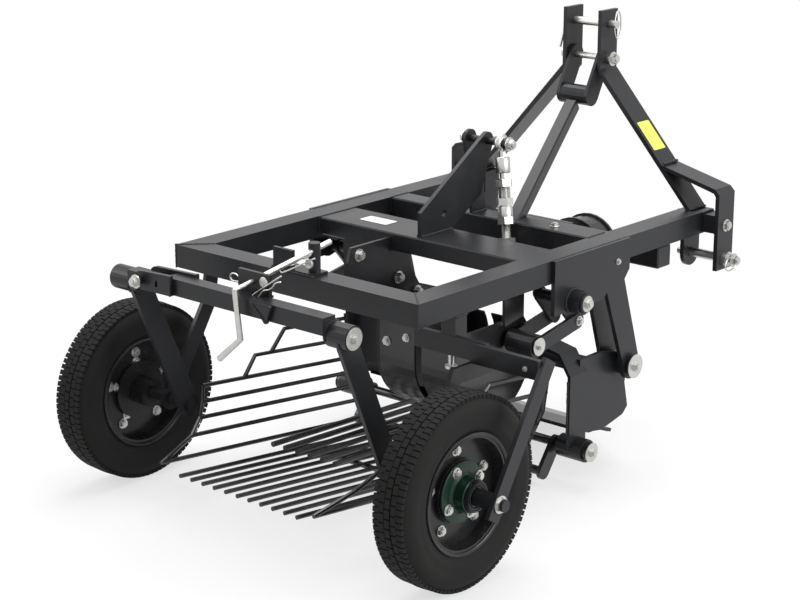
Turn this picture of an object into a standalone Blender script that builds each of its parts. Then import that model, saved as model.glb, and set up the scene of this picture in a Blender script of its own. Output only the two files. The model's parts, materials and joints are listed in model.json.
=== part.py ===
"""One-row vibrating potato digger for a three-point linkage, standing on its two wheels and its share.

Metres, +X to the machine's right, +Y forward, +Z up. Lengths along Y are measured from the rear face of
the rear beam, and at the end the whole machine is moved so that its box is centred over the origin.
"""

import bmesh
import bpy
from math import atan2, cos, hypot, pi, radians, sin
from mathutils import Matrix, Vector

# ---------------------------------------------------------------- driving dimensions
SEAT = 0.0003            # gap left between two pieces that touch
RUN = 0.0008             # running gap of a shaft in its bore
PLATE = 0.010            # flat bar and plate

FRAME_WIDTH = 0.690
FRAME_TOP = 0.545
BEAM_LENGTH = 1.040
TUBE_WIDTH = 0.058
TUBE_HEIGHT = 0.050
MIDDLE_BEAM_Y = 0.387
MIDDLE_BEAM_WIDTH = 0.120
MIDDLE_BEAM_HEIGHT = 0.040
MIDDLE_BEAM_DROP = 0.002
FRONT_BEAM_Y = 0.632
FRONT_BEAM_WIDTH = 0.060
DRAWBAR_Y = 0.820
DRAWBAR_SIZE = 0.050

HITCH_Y = 1.015          # middle of the mast, the lugs and the hitch pins
HITCH_BAR = 0.064        # width of those bars along Y
MAST_HALF_GAP = 0.045    # centre plane to the inner face of a mast bar
MAST_TOP = 0.978
MAST_BEND = 0.838
MAST_FOOT_X = 0.312
TOP_PIN_Z = 0.945
TOP_PIN_RADIUS = 0.0095
MAST_BOLT_Z = 0.864
MAST_BOLT_RADIUS = 0.008
LUG_PIN_Z = 0.440
LUG_PIN_RADIUS = 0.011
LUG_OUTER_X = 0.385
LUG_BOTTOM = 0.415
STRAP_Z = 0.605
STRAP_START_Z = 0.640

SIDE_PLATE_REAR = 0.425
SIDE_PLATE_FRONT = 0.695
SIDE_PLATE_BOTTOM = 0.426
ROCKER_SHAFT = (0.490, 0.447)     # (y, z) of the lateral shaft through the side plates
ROCKER_SHAFT_RADIUS = 0.012
ROCKER_BOSS_RADIUS = 0.026
SHARE_PIVOT = (0.713, 0.248)      # (y, z)
SHARE_PIVOT_RADIUS = 0.010
LEG_END_RADIUS = 0.031
LEG_TOP_REAR = 0.613
INNER_LEG_X = 0.287

LINK_FRONT = (0.545, 0.385)       # (y, z) where the rocker arms carry the links
LINK_REAR = (0.405, 0.360)        # (y, z) of the links' rear bush
LINK_WIDTH = 0.034
LINK_THICKNESS = 0.008
LINK_OUTER_X = 0.332
LINK_INNER_X = 0.262
LINK_BUSH_RADIUS = 0.025

BOX_PLATE_X = 0.316               # inner face of the share box's side plates
BOX_HUB_RADIUS = 0.024
SIEVE_SHAFT = (0.548, 0.092)      # (y, z)
SIEVE_SHAFT_RADIUS = 0.010
HANGER_BOSS_RADIUS = 0.026
HANGER_WIDTH = 0.060
HANGER_THICKNESS = 0.008
FLOOR_REAR = (0.590, 0.116)       # (y, z) along the middle of the floor plate
FLOOR_BEND = (0.660, 0.104)
FLOOR_LIP = 0.032
SHARE_SLOPE = 22                  # degrees down towards the front
SHARE_THICKNESS = 0.008
SHARE_HALF_WIDTH = 0.300
SHARE_TIP_HALF = 0.035
BOX_TUBE = (0.612, 0.262)         # (y, z) of the tube between the box's sides
BOX_TUBE_RADIUS = 0.020

ROD_RADIUS = 0.0050
SIEVE_RODS = 11
SIEVE_PITCH = 0.034
SIEVE_REAR = (-0.165, 0.106)      # (y, z) of the rods' free ends
SIEVE_FRONT = (0.505, 0.034)      # (y, z) of the bar that carries them
SIEVE_BAR_RADIUS = 0.010
SIEVE_LUG_X = 0.268
WALL_POST_Y = 0.485
FINGERS = 6
FINGER_PITCH = 0.036
FINGER_RADIUS = 0.0065
FINGER_REAR = (0.030, 0.142)      # (y, z)
FINGER_BAR = 0.014

WHEEL_X = 0.4615
WHEEL_Y = -0.025
TYRE_RADIUS = 0.200
TYRE_WIDTH = 0.092
RIM_RADIUS = 0.116
WHEEL_STEPS = 36
HUB_RADIUS = 0.032
HUB_HALF = 0.055
AXLE_RADIUS = 0.0125
AXLE_INNER_X = 0.280              # the axles' ends
AXLE_LEFT_END = 0.525
AXLE_RIGHT_END = 0.588

CARRIAGE = (-0.167, 0.526)        # (y, z) of the rear cross tube
CARRIAGE_X = (-0.176, 0.266)
CARRIAGE_SIZE = 0.035
BOSS = (-0.153, 0.506)            # (y, z) of the round bosses at its two ends
BOSS_RADIUS = 0.026
BOSS_RIGHT_X = (0.262, 0.316)
BOSS_LEFT_X = (-0.354, -0.276)
CLEVIS_PLATE = 0.009
CLEVIS_BOLT_X = -0.240
CLEVIS_BOLT_RADIUS = 0.008
ARM_WIDTH = 0.050
ARM_X = 0.288                     # inner face of the rear arms
SPINDLE_X = 0.044
SPINDLE_REAR = (-0.200, 0.560)    # (y, z) of the spindle's two ends
SPINDLE_FRONT = (0.072, 0.604)
SPINDLE_RADIUS = 0.0065
SUPPORT_Y = 0.114                 # rear face of the bar under the right side beam
SUPPORT_Z = (0.412, 0.453)
SUPPORT_BAR = 0.012
SUPPORT_X = (0.237, 0.420)
OUTER_BAR_X = 0.392               # where the outer leg's own bar starts
OUTER_LEG_X = 0.563
OUTER_LEG_WIDTH = 0.034
INNER_BAR_X = 0.385

CRANK = (0.365, 0.320)            # (y, z)
CRANK_RADIUS = 0.015
FLYWHEEL_RADIUS = 0.095
FLYWHEEL_X = (0.045, 0.075)
ECCENTRIC_RADIUS = 0.030
ECCENTRIC_THROW = 0.006
EYE_GAP = 0.010                   # round the eccentric, where the linkage is open
DRIVE_ROD_X = 0.134
DRIVE_ROD_THICKNESS = 0.008
MOVING_GAP = 0.006                # between pieces that move past each other
GUARD_RADIUS = 0.126
GUARD_WALL = 0.004
GUARD_ARC = (180, 390)            # degrees from +Y towards +Z; it is open at the top
GUARD_TOP = 0.400
GUARD_END_X = 0.240
DRIVE_PLATE = 0.008
DRIVE_PLATES_X = (-0.080, 0.0215)  # left faces of the two plates that hold the gearbox
GEARBOX_Y = (0.275, 0.455)
GEARBOX_Z = (0.280, 0.392)

PTO_Z = 0.390
PTO_RADIUS = 0.0175
PTO_FRONT = 1.040
PTO_SNOUT_RADIUS = 0.021
RING_Y = (0.972, 1.036)
RING_RADIUS = 0.083
RING_LIP = 0.005

BRACKET_X = (-0.003, 0.007)
BRACKET_PIN = (0.628, 0.722)      # (y, z)
BRACKET_PIN_RADIUS = 0.008
STRUT_X = (-0.050, -0.042)
TURNBUCKLE_TOP_X = 0.046
TURNBUCKLE_FOOT = (0.098, 0.592, 0.468)
TURNBUCKLE_ROD = 0.0085
TURNBUCKLE_BODY = 0.0130
TURNBUCKLE_EYE = 0.018

HALF = FRAME_WIDTH / 2
INNER = HALF - TUBE_WIDTH
FRAME_BOTTOM = FRAME_TOP - TUBE_HEIGHT
BEAM_UNDER = FRAME_BOTTOM - SEAT
LEFT, RIGHT = -1, 1
SIDES = ((LEFT, "left"), (RIGHT, "right"))

# ---------------------------------------------------------------- finishes
FINISHES = {             # colour, roughness, metallic
    "powder_coat": ((0.040, 0.041, 0.044, 1), 0.42, 0.0),
    "black_gloss": ((0.012, 0.012, 0.013, 1), 0.25, 0.0),
    "zinc": ((0.62, 0.62, 0.60, 1), 0.30, 1.0),
    "rubber": ((0.026, 0.026, 0.026, 1), 0.80, 0.0),
    "rim_black": ((0.010, 0.010, 0.010, 1), 0.30, 0.0),
    "hub_green": ((0.010, 0.028, 0.020, 1), 0.35, 0.0),
    "steel": ((0.32, 0.32, 0.32, 1), 0.40, 1.0),
}


def clear_scene():
    for thing in list(bpy.data.objects):
        bpy.data.objects.remove(thing)


def finish(name):
    found = bpy.data.materials.get(name)
    if found:
        return found
    colour, roughness, metallic = FINISHES[name]
    made = bpy.data.materials.new(name)
    made.use_nodes = True
    shader = made.node_tree.nodes["Principled BSDF"]
    shader.inputs["Base Color"].default_value = colour
    shader.inputs["Roughness"].default_value = roughness
    shader.inputs["Metallic"].default_value = metallic
    return made


def add(name, data, material, matrix=None):
    """A new object of this data, in the machine's collection."""
    thing = bpy.data.objects.new(name, data)
    bpy.data.collections["potato_digger"].objects.link(thing)
    data.materials.append(finish(material))
    if matrix is not None:
        thing.matrix_world = matrix
    return thing


# ---------------------------------------------------------------- outlines, as lists of (u, v)
def arc(centre, radius, start, end, steps=10):
    """Points on an arc, with its angles in degrees."""
    turns = [radians(start + (end - start) * step / steps) for step in range(steps + 1)]
    return [(centre[0] + radius * cos(turn), centre[1] + radius * sin(turn)) for turn in turns]


def circle(centre, radius, steps=20):
    return arc(centre, radius, 0, 360, steps)[:-1]


def bar_outline(path, width):
    """The outline of a bar of this width that follows a bent path, mitred at its bends."""
    sides = ([], [])
    for index, point in enumerate(path):
        before = Vector(path[max(index - 1, 0)])
        after = Vector(path[min(index + 1, len(path) - 1)])
        here = Vector(point)
        into = (here - before).normalized() if index else (after - here).normalized()
        out = (after - here).normalized() if index < len(path) - 1 else into
        normal_in = Vector((-into.y, into.x))
        middle = (normal_in + Vector((-out.y, out.x))).normalized()
        reach = width / 2 / middle.dot(normal_in)
        sides[0].append(tuple(here + middle * reach))
        sides[1].append(tuple(here - middle * reach))
    return sides[0] + sides[1][::-1]


def round_bar(start, end, width, steps=8):
    """A flat bar's outline with both ends rounded."""
    along = atan2(end[1] - start[1], end[0] - start[0]) * 180 / pi
    radius = width / 2
    return (arc(end, radius, along - 90, along + 90, steps)
            + arc(start, radius, along + 90, along + 270, steps))


# ---------------------------------------------------------------- shapes
PLANES = {               # which way local x and y point, and so what the thickness is measured along
    "YZ": Matrix(((0, 0, 1, 0), (1, 0, 0, 0), (0, 1, 0, 0), (0, 0, 0, 1))),
    "XZ": Matrix(((1, 0, 0, 0), (0, 0, -1, 0), (0, 1, 0, 0), (0, 0, 0, 1))),
    "XY": Matrix.Identity(4),
}
AXES = {
    "X": Matrix.Rotation(pi / 2, 4, "Y"),
    "Y": Matrix.Rotation(-pi / 2, 4, "X"),
    "Z": Matrix.Identity(4),
}
NORMALS = {"YZ": Vector((1, 0, 0)), "XZ": Vector((0, 1, 0)), "XY": Vector((0, 0, 1))}


def plate(name, plane, outline, low, high, material="powder_coat", holes=()):
    """A flat outline between two places on the axis across its plane. Holes are further outlines."""
    data = bpy.data.curves.new(name, "CURVE")
    data.dimensions = "2D"
    data.fill_mode = "BOTH"
    data.extrude = (high - low) / 2
    for loop in (outline, *holes):
        spline = data.splines.new("POLY")
        spline.points.add(len(loop) - 1)
        for point, (u, v) in zip(spline.points, loop):
            point.co = (u, v, 0, 1)
        spline.use_cyclic_u = True
    middle = NORMALS[plane] * (low + high) / 2
    return add(name, data, material, Matrix.Translation(middle) @ PLANES[plane])


def block(name, low, high, material="powder_coat", bevel=0.0):
    """A box between two corners, with its edges broken where bevel isn't 0."""
    size = Vector(high) - Vector(low)
    mesh = bpy.data.meshes.new(name)
    shape = bmesh.new()
    bmesh.ops.create_cube(shape, size=1)
    bmesh.ops.scale(shape, vec=size, verts=shape.verts)
    shape.to_mesh(mesh)
    shape.free()
    thing = add(name, mesh, material, Matrix.Translation((Vector(low) + Vector(high)) / 2))
    if bevel:
        soft = thing.modifiers.new("edges", "BEVEL")
        soft.width = bevel
        soft.segments = 1
    return thing


def turned(name, axis, centre, profile, material, steps=32):
    """A profile of (radius, height along the axis) turned about an axis. It runs down its outer side."""
    mesh = bpy.data.meshes.new(name)
    points = [(radius, 0, height) for radius, height in profile]
    edges = [(index, index + 1) for index in range(len(points) - 1)]
    if profile[0][0] > 0:
        edges.append((len(points) - 1, 0))
    mesh.from_pydata(points, edges, [])
    thing = add(name, mesh, material, Matrix.Translation(centre) @ AXES[axis])
    screw = thing.modifiers.new("turn", "SCREW")
    screw.steps = steps
    screw.render_steps = steps
    screw.use_merge_vertices = True
    screw.merge_threshold = 0.00001
    screw.use_smooth_shade = True
    return thing


def pin(name, axis, centre, radius, low, high, material="zinc", heads=(), steps=16):
    """A round bar from low to high along its axis. Each head is (from, to, radius), going down the axis."""
    profile = [(0, high)]
    place = high
    for top, bottom, wide in sorted(heads, reverse=True):
        if top < place:
            profile += [(radius, place), (radius, top)]
        profile += [(wide, top), (wide, bottom)]
        place = bottom
    profile += [(radius, place), (radius, low)] if place > low else []
    return turned(name, axis, centre, profile + [(0, low)], material, steps)


def rod(name, points, radius=ROD_RADIUS, material="black_gloss", sides=2):
    """A bent round bar along these points."""
    data = bpy.data.curves.new(name, "CURVE")
    data.dimensions = "3D"
    data.bevel_depth = radius
    data.bevel_resolution = sides
    data.use_fill_caps = True
    spline = data.splines.new("POLY")
    spline.points.add(len(points) - 1)
    for point, place in zip(spline.points, points):
        point.co = (*place, 1)
    return add(name, data, material)


def as_mesh(thing):
    """The object's evaluated shape as a mesh in world space, with its caps welded. The object is removed."""
    bpy.context.view_layer.update()
    graph = bpy.context.evaluated_depsgraph_get()
    mesh = bpy.data.meshes.new_from_object(thing.evaluated_get(graph))
    mesh.transform(thing.matrix_world)
    shape = bmesh.new()
    shape.from_mesh(mesh)
    bmesh.ops.remove_doubles(shape, verts=shape.verts, dist=0.00001)
    shape.to_mesh(mesh)
    shape.free()
    bpy.data.objects.remove(thing)
    return mesh


def joined(name, pieces, operation="UNION"):
    """The first piece with the others welded to it, or cut from it, as one body."""
    meshes = [as_mesh(piece) for piece in pieces]
    body = add(name, meshes[0], pieces_material(meshes[0]))
    for mesh in meshes[1:]:
        other = bpy.data.objects.new(name + "_tool", mesh)
        bpy.data.collections["cutters"].objects.link(other)
        cut = body.modifiers.new("join", "BOOLEAN")
        cut.operation = operation
        cut.object = other
        bpy.context.view_layer.update()
        graph = bpy.context.evaluated_depsgraph_get()
        result = bpy.data.meshes.new_from_object(body.evaluated_get(graph))
        body.modifiers.clear()
        body.data = result
        bpy.data.objects.remove(other)
    return body


def pieces_material(mesh):
    name = mesh.materials[0].name
    mesh.materials.clear()
    return name


# ---------------------------------------------------------------- frame
def make_frame():
    mitre = 0.0005
    for side, word in SIDES:
        outline = [(side * HALF, mitre), (side * HALF, BEAM_LENGTH),
                   (side * INNER, BEAM_LENGTH), (side * INNER, TUBE_WIDTH + mitre)]
        plate(f"side_beam_{word}", "XY", outline, FRAME_BOTTOM, FRAME_TOP)
    rear = [(-HALF, 0), (HALF, 0), (INNER, TUBE_WIDTH), (-INNER, TUBE_WIDTH)]
    plate("rear_beam", "XY", rear, FRAME_BOTTOM, FRAME_TOP)
    top = FRAME_TOP - MIDDLE_BEAM_DROP
    block("middle_beam", (-INNER + SEAT, MIDDLE_BEAM_Y, top - MIDDLE_BEAM_HEIGHT),
          (INNER - SEAT, MIDDLE_BEAM_Y + MIDDLE_BEAM_WIDTH, top), bevel=0.003)
    block("front_beam", (-INNER + SEAT, FRONT_BEAM_Y, FRAME_BOTTOM),
          (INNER - SEAT, FRONT_BEAM_Y + FRONT_BEAM_WIDTH, FRAME_TOP), bevel=0.003)
    drawbar_top = FRAME_BOTTOM - SEAT
    block("drawbar_tube", (-HALF, DRAWBAR_Y, drawbar_top - DRAWBAR_SIZE),
          (HALF, DRAWBAR_Y + DRAWBAR_SIZE, drawbar_top), bevel=0.003)


# ---------------------------------------------------------------- hitch
def make_mast():
    low, high = HITCH_Y - HITCH_BAR / 2, HITCH_Y + HITCH_BAR / 2
    foot_z = FRAME_TOP + SEAT
    for side, word in SIDES:
        inner = side * MAST_HALF_GAP
        outer = side * (MAST_HALF_GAP + PLATE)
        # The inclined leg, with its foot cut level on the beam.
        rise = MAST_BEND - foot_z
        run = MAST_FOOT_X - MAST_HALF_GAP - PLATE / 2
        across = PLATE * hypot(rise, run) / rise / 2
        foot_in = side * (MAST_FOOT_X - across)
        foot_out = side * (MAST_FOOT_X + across)
        outline = [(inner, MAST_TOP), (outer, MAST_TOP), (outer, MAST_BEND + 0.004),
                   (foot_out, foot_z), (foot_in, foot_z), (inner, MAST_BEND - 0.004)]
        bar = plate(f"mast_{word}", "XZ", outline, low, high)
        cut_top = pin("c", "X", (0, HITCH_Y, TOP_PIN_Z), TOP_PIN_RADIUS + RUN, -0.2, 0.2)
        cut_low = pin("c", "X", (0, HITCH_Y, MAST_BOLT_Z), MAST_BOLT_RADIUS + RUN, -0.2, 0.2)
        joined(f"mast_{word}", [bar, cut_top, cut_low], "DIFFERENCE")
    reach = MAST_HALF_GAP + PLATE + SEAT
    pin("top_link_pin", "X", (0, HITCH_Y, TOP_PIN_Z), TOP_PIN_RADIUS, -reach - 0.012, reach + 0.022,
        heads=((-reach, -reach - 0.012, 0.015),))
    pin("mast_bolt", "X", (0, HITCH_Y, MAST_BOLT_Z), MAST_BOLT_RADIUS, -reach - 0.011, reach + 0.011,
        heads=((reach + 0.011, reach, 0.014), (-reach, -reach - 0.011, 0.014)))


def make_strap_and_brace():
    """The U-shaped strap hung on the mast bolt, and the brace from it to the front beam."""
    half = MAST_HALF_GAP - 0.0015
    bottom_y, bottom_z = HITCH_Y - 0.045, MAST_BOLT_Z - 0.085
    lean = atan2(MAST_BOLT_Z - bottom_z, HITCH_Y - bottom_y) * 180 / pi
    cheek = (arc((HITCH_Y, MAST_BOLT_Z), 0.024, lean - 90, lean + 90, 8)
             + arc((bottom_y, bottom_z), 0.024, lean + 90, lean + 270, 8))
    cheeks = [plate("c", "YZ", cheek, side * half - (0.008 if side > 0 else 0),
                    side * half + (0 if side > 0 else 0.008)) for side, _ in SIDES]
    web = pin("c", "X", (0, bottom_y, bottom_z), 0.0235, -half + 0.004, half - 0.004, "powder_coat")
    hole = pin("c", "X", (0, HITCH_Y, MAST_BOLT_Z), MAST_BOLT_RADIUS + SEAT, -0.2, 0.2)
    strap = joined("mast_strap", [cheeks[0], web, cheeks[1]])
    joined("mast_strap", [strap, hole], "DIFFERENCE")
    # The brace lies in a plane that leans a little to the right.
    start = Vector((0.0, bottom_y - 0.0165, bottom_z - 0.0200))
    foot = Vector((0.055, FRONT_BEAM_Y + FRONT_BEAM_WIDTH * 0.75, FRAME_TOP))
    along = foot - start
    size = 0.030
    brace = block("c", (-size / 2, -size / 2, 0), (size / 2, size / 2, along.length + 0.04), bevel=0.003)
    turn = along.to_track_quat("Z", "X").to_matrix().to_4x4()
    brace.matrix_world = Matrix.Translation(start) @ turn @ Matrix.Translation((0, 0, along.length / 2 + 0.02))
    floor = block("c", (-0.2, 0.4, FRAME_TOP - 0.2), (0.3, 1.0, FRAME_TOP + SEAT))
    seat = pin("c", "X", (0, bottom_y, bottom_z), 0.0235 + SEAT, -0.2, 0.2)
    joined("mast_brace", [brace, floor, seat], "DIFFERENCE")


def mast_outer_x(z):
    """x of the outer face of a mast leg at a height."""
    top, foot = MAST_BEND + 0.004, FRAME_TOP + SEAT
    across = PLATE * hypot(MAST_BEND - foot, MAST_FOOT_X - MAST_HALF_GAP - PLATE / 2) / (MAST_BEND - foot) / 2
    start, end = MAST_HALF_GAP + PLATE, MAST_FOOT_X + across
    return start + (end - start) * (top - z) / (top - foot)


def make_hitch_lugs():
    low, high = HITCH_Y - HITCH_BAR / 2, HITCH_Y + HITCH_BAR / 2
    bend = 0.012
    outer = LUG_OUTER_X + PLATE
    under_z = STRAP_START_Z - PLATE * 1.1
    for side, word in SIDES:
        outline = [(mast_outer_x(STRAP_START_Z) + SEAT * 2, STRAP_START_Z), (outer - bend, STRAP_Z),
                   (outer, STRAP_Z - bend), (outer, LUG_BOTTOM), (LUG_OUTER_X, LUG_BOTTOM),
                   (LUG_OUTER_X, STRAP_Z - bend - PLATE / 2), (LUG_OUTER_X - bend / 2, STRAP_Z - PLATE),
                   (mast_outer_x(under_z) + SEAT * 2, under_z)]
        bar = plate("c", "XZ", [(side * x, z) for x, z in outline], low, high)
        edges = sorted((side * (HALF + SEAT), side * (LUG_OUTER_X + PLATE / 2)))
        spacer = block("c", (edges[0], HITCH_Y - 0.022, FRAME_BOTTOM + 0.004),
                       (edges[1], HITCH_Y + 0.022, FRAME_TOP - 0.004))
        hole = pin("c", "X", (side * LUG_OUTER_X, HITCH_Y, LUG_PIN_Z), LUG_PIN_RADIUS + RUN, -0.05, 0.05)
        body = joined("c1", [bar, spacer])
        joined(f"hitch_strap_{word}", [body, hole], "DIFFERENCE")
        lug = [(low, BEAM_UNDER)] + arc((HITCH_Y, LUG_PIN_Z), HITCH_BAR / 2, 180, 360) + [(high, BEAM_UNDER)]
        edges = sorted((side * (INNER + 0.008), side * (INNER + 0.008 + PLATE)))
        plate(f"inner_lug_{word}", "YZ", lug, edges[0], edges[1],
              holes=[circle((HITCH_Y, LUG_PIN_Z), LUG_PIN_RADIUS + RUN)])
        ends = (side * (INNER - 0.014), side * (outer + 0.024))
        head = sorted((side * (outer + SEAT), side * (outer + 0.012)), reverse=True)
        pin(f"lug_pin_{word}", "X", (0, HITCH_Y, LUG_PIN_Z), LUG_PIN_RADIUS, min(ends), max(ends),
            heads=((head[0], head[1], 0.0175),))


# ---------------------------------------------------------------- side plates and legs
def make_side_plates():
    leg_end = arc(SHARE_PIVOT, LEG_END_RADIUS, 12, -192, 12)
    pivot_hole = circle(SHARE_PIVOT, SHARE_PIVOT_RADIUS + RUN)
    for side, word in SIDES:
        outline = [(SIDE_PLATE_REAR, SIDE_PLATE_BOTTOM), (SIDE_PLATE_REAR, FRAME_TOP),
                   (SIDE_PLATE_FRONT, FRAME_TOP), (SIDE_PLATE_FRONT, 0.476), (0.677, 0.455), *leg_end,
                   (LEG_TOP_REAR, SIDE_PLATE_BOTTOM + 0.012), (LEG_TOP_REAR - 0.014, SIDE_PLATE_BOTTOM)]
        face = HALF + SEAT
        edges = sorted((side * face, side * (face + PLATE)))
        wall = plate("c", "YZ", outline, edges[0], edges[1], holes=[pivot_hole])
        ends = sorted((side * (face + PLATE / 2), side * (face + PLATE + 0.030)))
        boss = pin("c", "X", (0, *ROCKER_SHAFT), ROCKER_BOSS_RADIUS, ends[0], ends[1], "powder_coat", steps=24)
        bore = pin("c", "X", (0, *ROCKER_SHAFT), ROCKER_SHAFT_RADIUS + RUN, -0.6, 0.6)
        joined(f"side_plate_{word}", [joined("c1", [wall, boss]), bore], "DIFFERENCE")
        inner = [(0.677, BEAM_UNDER), *leg_end, (LEG_TOP_REAR - 0.006, BEAM_UNDER)]
        edges = sorted((side * INNER_LEG_X, side * (INNER_LEG_X + PLATE)))
        leg = plate("c", "YZ", inner, edges[0], edges[1])
        # The pivot bolt is fixed in the inner leg and passes through the side plate.
        out = face + PLATE + SEAT
        ends = sorted((side * (INNER_LEG_X - 0.014), side * (out + 0.014)))
        head = sorted((side * out, side * (out + 0.009)), reverse=True)
        bolt = pin("c", "X", (0, *SHARE_PIVOT), SHARE_PIVOT_RADIUS, ends[0], ends[1], "powder_coat",
                   heads=((head[0], head[1], 0.020),))
        joined(f"inner_leg_{word}", [leg, bolt])


# ---------------------------------------------------------------- rockers
def make_rockers():
    """On each side a stub shaft in the side plate, with a pair of arms down to the link, and the link behind them."""
    reach = HALF + SEAT * 2 + PLATE + 0.030
    for side, word in SIDES:
        ends = sorted((side * (LINK_INNER_X - 0.006), side * (reach + 0.006)))
        head = sorted((side * reach, side * (reach + 0.006)), reverse=True)
        shaft = pin("c", "X", (0, *ROCKER_SHAFT), ROCKER_SHAFT_RADIUS, *ends, "powder_coat",
                    heads=((head[0], head[1], 0.021),))
        arms = []
        for x in (LINK_OUTER_X - LINK_THICKNESS - SEAT, LINK_INNER_X + SEAT + LINK_THICKNESS):
            edges = sorted((side * x, side * (x - LINK_THICKNESS)))
            arms.append(plate("c", "YZ", round_bar(ROCKER_SHAFT, LINK_FRONT, LINK_WIDTH), *edges))
        joined(f"rocker_arm_{word}", [shaft, *arms])
        bars = []
        for x in (LINK_OUTER_X, LINK_INNER_X):
            edges = sorted((side * x, side * (x - LINK_THICKNESS)))
            bars.append(plate("c", "YZ", round_bar(LINK_FRONT, LINK_REAR, LINK_WIDTH), *edges))
        ends = sorted((side * (LINK_OUTER_X - 0.004), side * (LINK_INNER_X - 0.004)))
        bush = pin("c", "X", (0, *LINK_REAR), LINK_BUSH_RADIUS, *ends, "powder_coat", steps=24)
        joined(f"rocker_link_{word}", [bush, *bars])


# ---------------------------------------------------------------- share box
def make_box_sides():
    """Each side plate of the box turns on the pivot bolts by its hub, and carries a hanger for the sieve."""
    for side, word in SIDES:
        outline = [(0.562, 0.128), (0.562, 0.290), (0.640, 0.290), (0.690, 0.280), (0.745, 0.268),
                   (0.732, 0.197), (0.746, 0.138), (0.728, 0.122), (0.667, 0.110), (0.600, 0.112)]
        edges = sorted((side * BOX_PLATE_X, side * (BOX_PLATE_X + PLATE)))
        wall = plate("c", "YZ", outline, *edges)
        ends = sorted((side * (INNER_LEG_X + PLATE + RUN), side * (HALF + SEAT - RUN)))
        hub = pin("c", "X", (0, *SHARE_PIVOT), BOX_HUB_RADIUS, *ends, "powder_coat", steps=24)
        # The hanger: an upright flat bar on the plate's outer face, bent inward at its top.
        face = BOX_PLATE_X + PLATE - 0.001
        middle = face + HANGER_THICKNESS / 2
        path = [(middle, SIEVE_SHAFT[1] + 0.010), (middle, 0.262), (0.300, 0.306), (0.258, 0.314)]
        bar = plate("c", "XZ", bar_outline([(side * x, z) for x, z in path], HANGER_THICKNESS),
                    SIEVE_SHAFT[0] - HANGER_WIDTH / 2, SIEVE_SHAFT[0] + HANGER_WIDTH / 2)
        ends = sorted((side * 0.292, side * 0.360))
        boss = pin("c", "X", (0, *SIEVE_SHAFT), HANGER_BOSS_RADIUS, *ends, "powder_coat", steps=24)
        body = joined("c1", [wall, hub, bar, boss])
        pivot = pin("c", "X", (0, *SHARE_PIVOT), SHARE_PIVOT_RADIUS + RUN, -0.6, 0.6)
        bore = pin("c", "X", (0, *SIEVE_SHAFT), SIEVE_SHAFT_RADIUS + RUN, -0.6, 0.6)
        joined(f"box_side_{word}", [body, pivot, bore], "DIFFERENCE")


def make_share():
    """The box's floor and the blade in front of it, which stands on the ground by its tip."""
    down = Vector((cos(radians(SHARE_SLOPE)), -sin(radians(SHARE_SLOPE))))
    lip = Vector(FLOOR_BEND) + down * FLOOR_LIP
    reach = BOX_PLATE_X - SEAT
    plate("box_floor", "YZ", bar_outline([FLOOR_REAR, FLOOR_BEND, tuple(lip)], SHARE_THICKNESS), -reach, reach)
    start = lip + down * SEAT
    length = (start.y - SHARE_THICKNESS / 2 * cos(radians(SHARE_SLOPE))) / sin(radians(SHARE_SLOPE))
    wing = 0.035
    outline = [(-SHARE_HALF_WIDTH, 0), (SHARE_HALF_WIDTH, 0), (SHARE_HALF_WIDTH, wing),
               (SHARE_TIP_HALF, length), (-SHARE_TIP_HALF, length), (-SHARE_HALF_WIDTH, wing)]
    blade = plate("share_blade", "XY", outline, -SHARE_THICKNESS / 2, SHARE_THICKNESS / 2)
    blade.matrix_world = Matrix.Translation((0, start.x, start.y)) @ Matrix.Rotation(-radians(SHARE_SLOPE), 4, "X")


def make_fingers():
    """Rods that trail from the floor over the sieve, on a cross bar."""
    y, z = FLOOR_REAR[0] - SEAT * 3 - FINGER_BAR, FLOOR_REAR[1] + 0.002
    half = (FINGERS - 1) * FINGER_PITCH / 2 + 0.030
    bar = block("c", (-half, y, z - FINGER_BAR / 2), (half, y + FINGER_BAR, z + FINGER_BAR / 2), "black_gloss")
    rods = []
    for index in range(FINGERS):
        x = (index - (FINGERS - 1) / 2) * FINGER_PITCH
        rods.append(rod("c", [(x, y + FINGER_BAR / 2, z), (x, *FINGER_REAR)], FINGER_RADIUS))
    joined("share_fingers", [bar, *rods])


def make_drive_rod():
    """The tube between the box's sides, with the rod that the eccentric would push, open at that end."""
    reach = BOX_PLATE_X - SEAT
    cross = pin("c", "X", (0, *BOX_TUBE), BOX_TUBE_RADIUS, -reach, reach, "powder_coat", steps=24)
    inside = ECCENTRIC_RADIUS + ECCENTRIC_THROW + EYE_GAP
    edges = (DRIVE_ROD_X, DRIVE_ROD_X + DRIVE_ROD_THICKNESS)
    eye = plate("c", "YZ", circle(CRANK, inside + 0.010, 28), *edges, holes=[circle(CRANK, inside, 28)])
    along = (Vector(BOX_TUBE) - Vector(CRANK)).normalized()
    start = Vector(CRANK) + along * (inside + 0.004)
    bar = plate("c", "YZ", bar_outline([tuple(start), BOX_TUBE], 0.028), *edges)
    joined("drive_rod", [cross, bar, eye])


# ---------------------------------------------------------------- sieve
def sieve_z(y):
    """Height of the sieve's bottom rods."""
    share = (SIEVE_FRONT[0] - y) / (SIEVE_FRONT[0] - SIEVE_REAR[0])
    return SIEVE_FRONT[1] + (SIEVE_REAR[1] - SIEVE_FRONT[1]) * share


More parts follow.
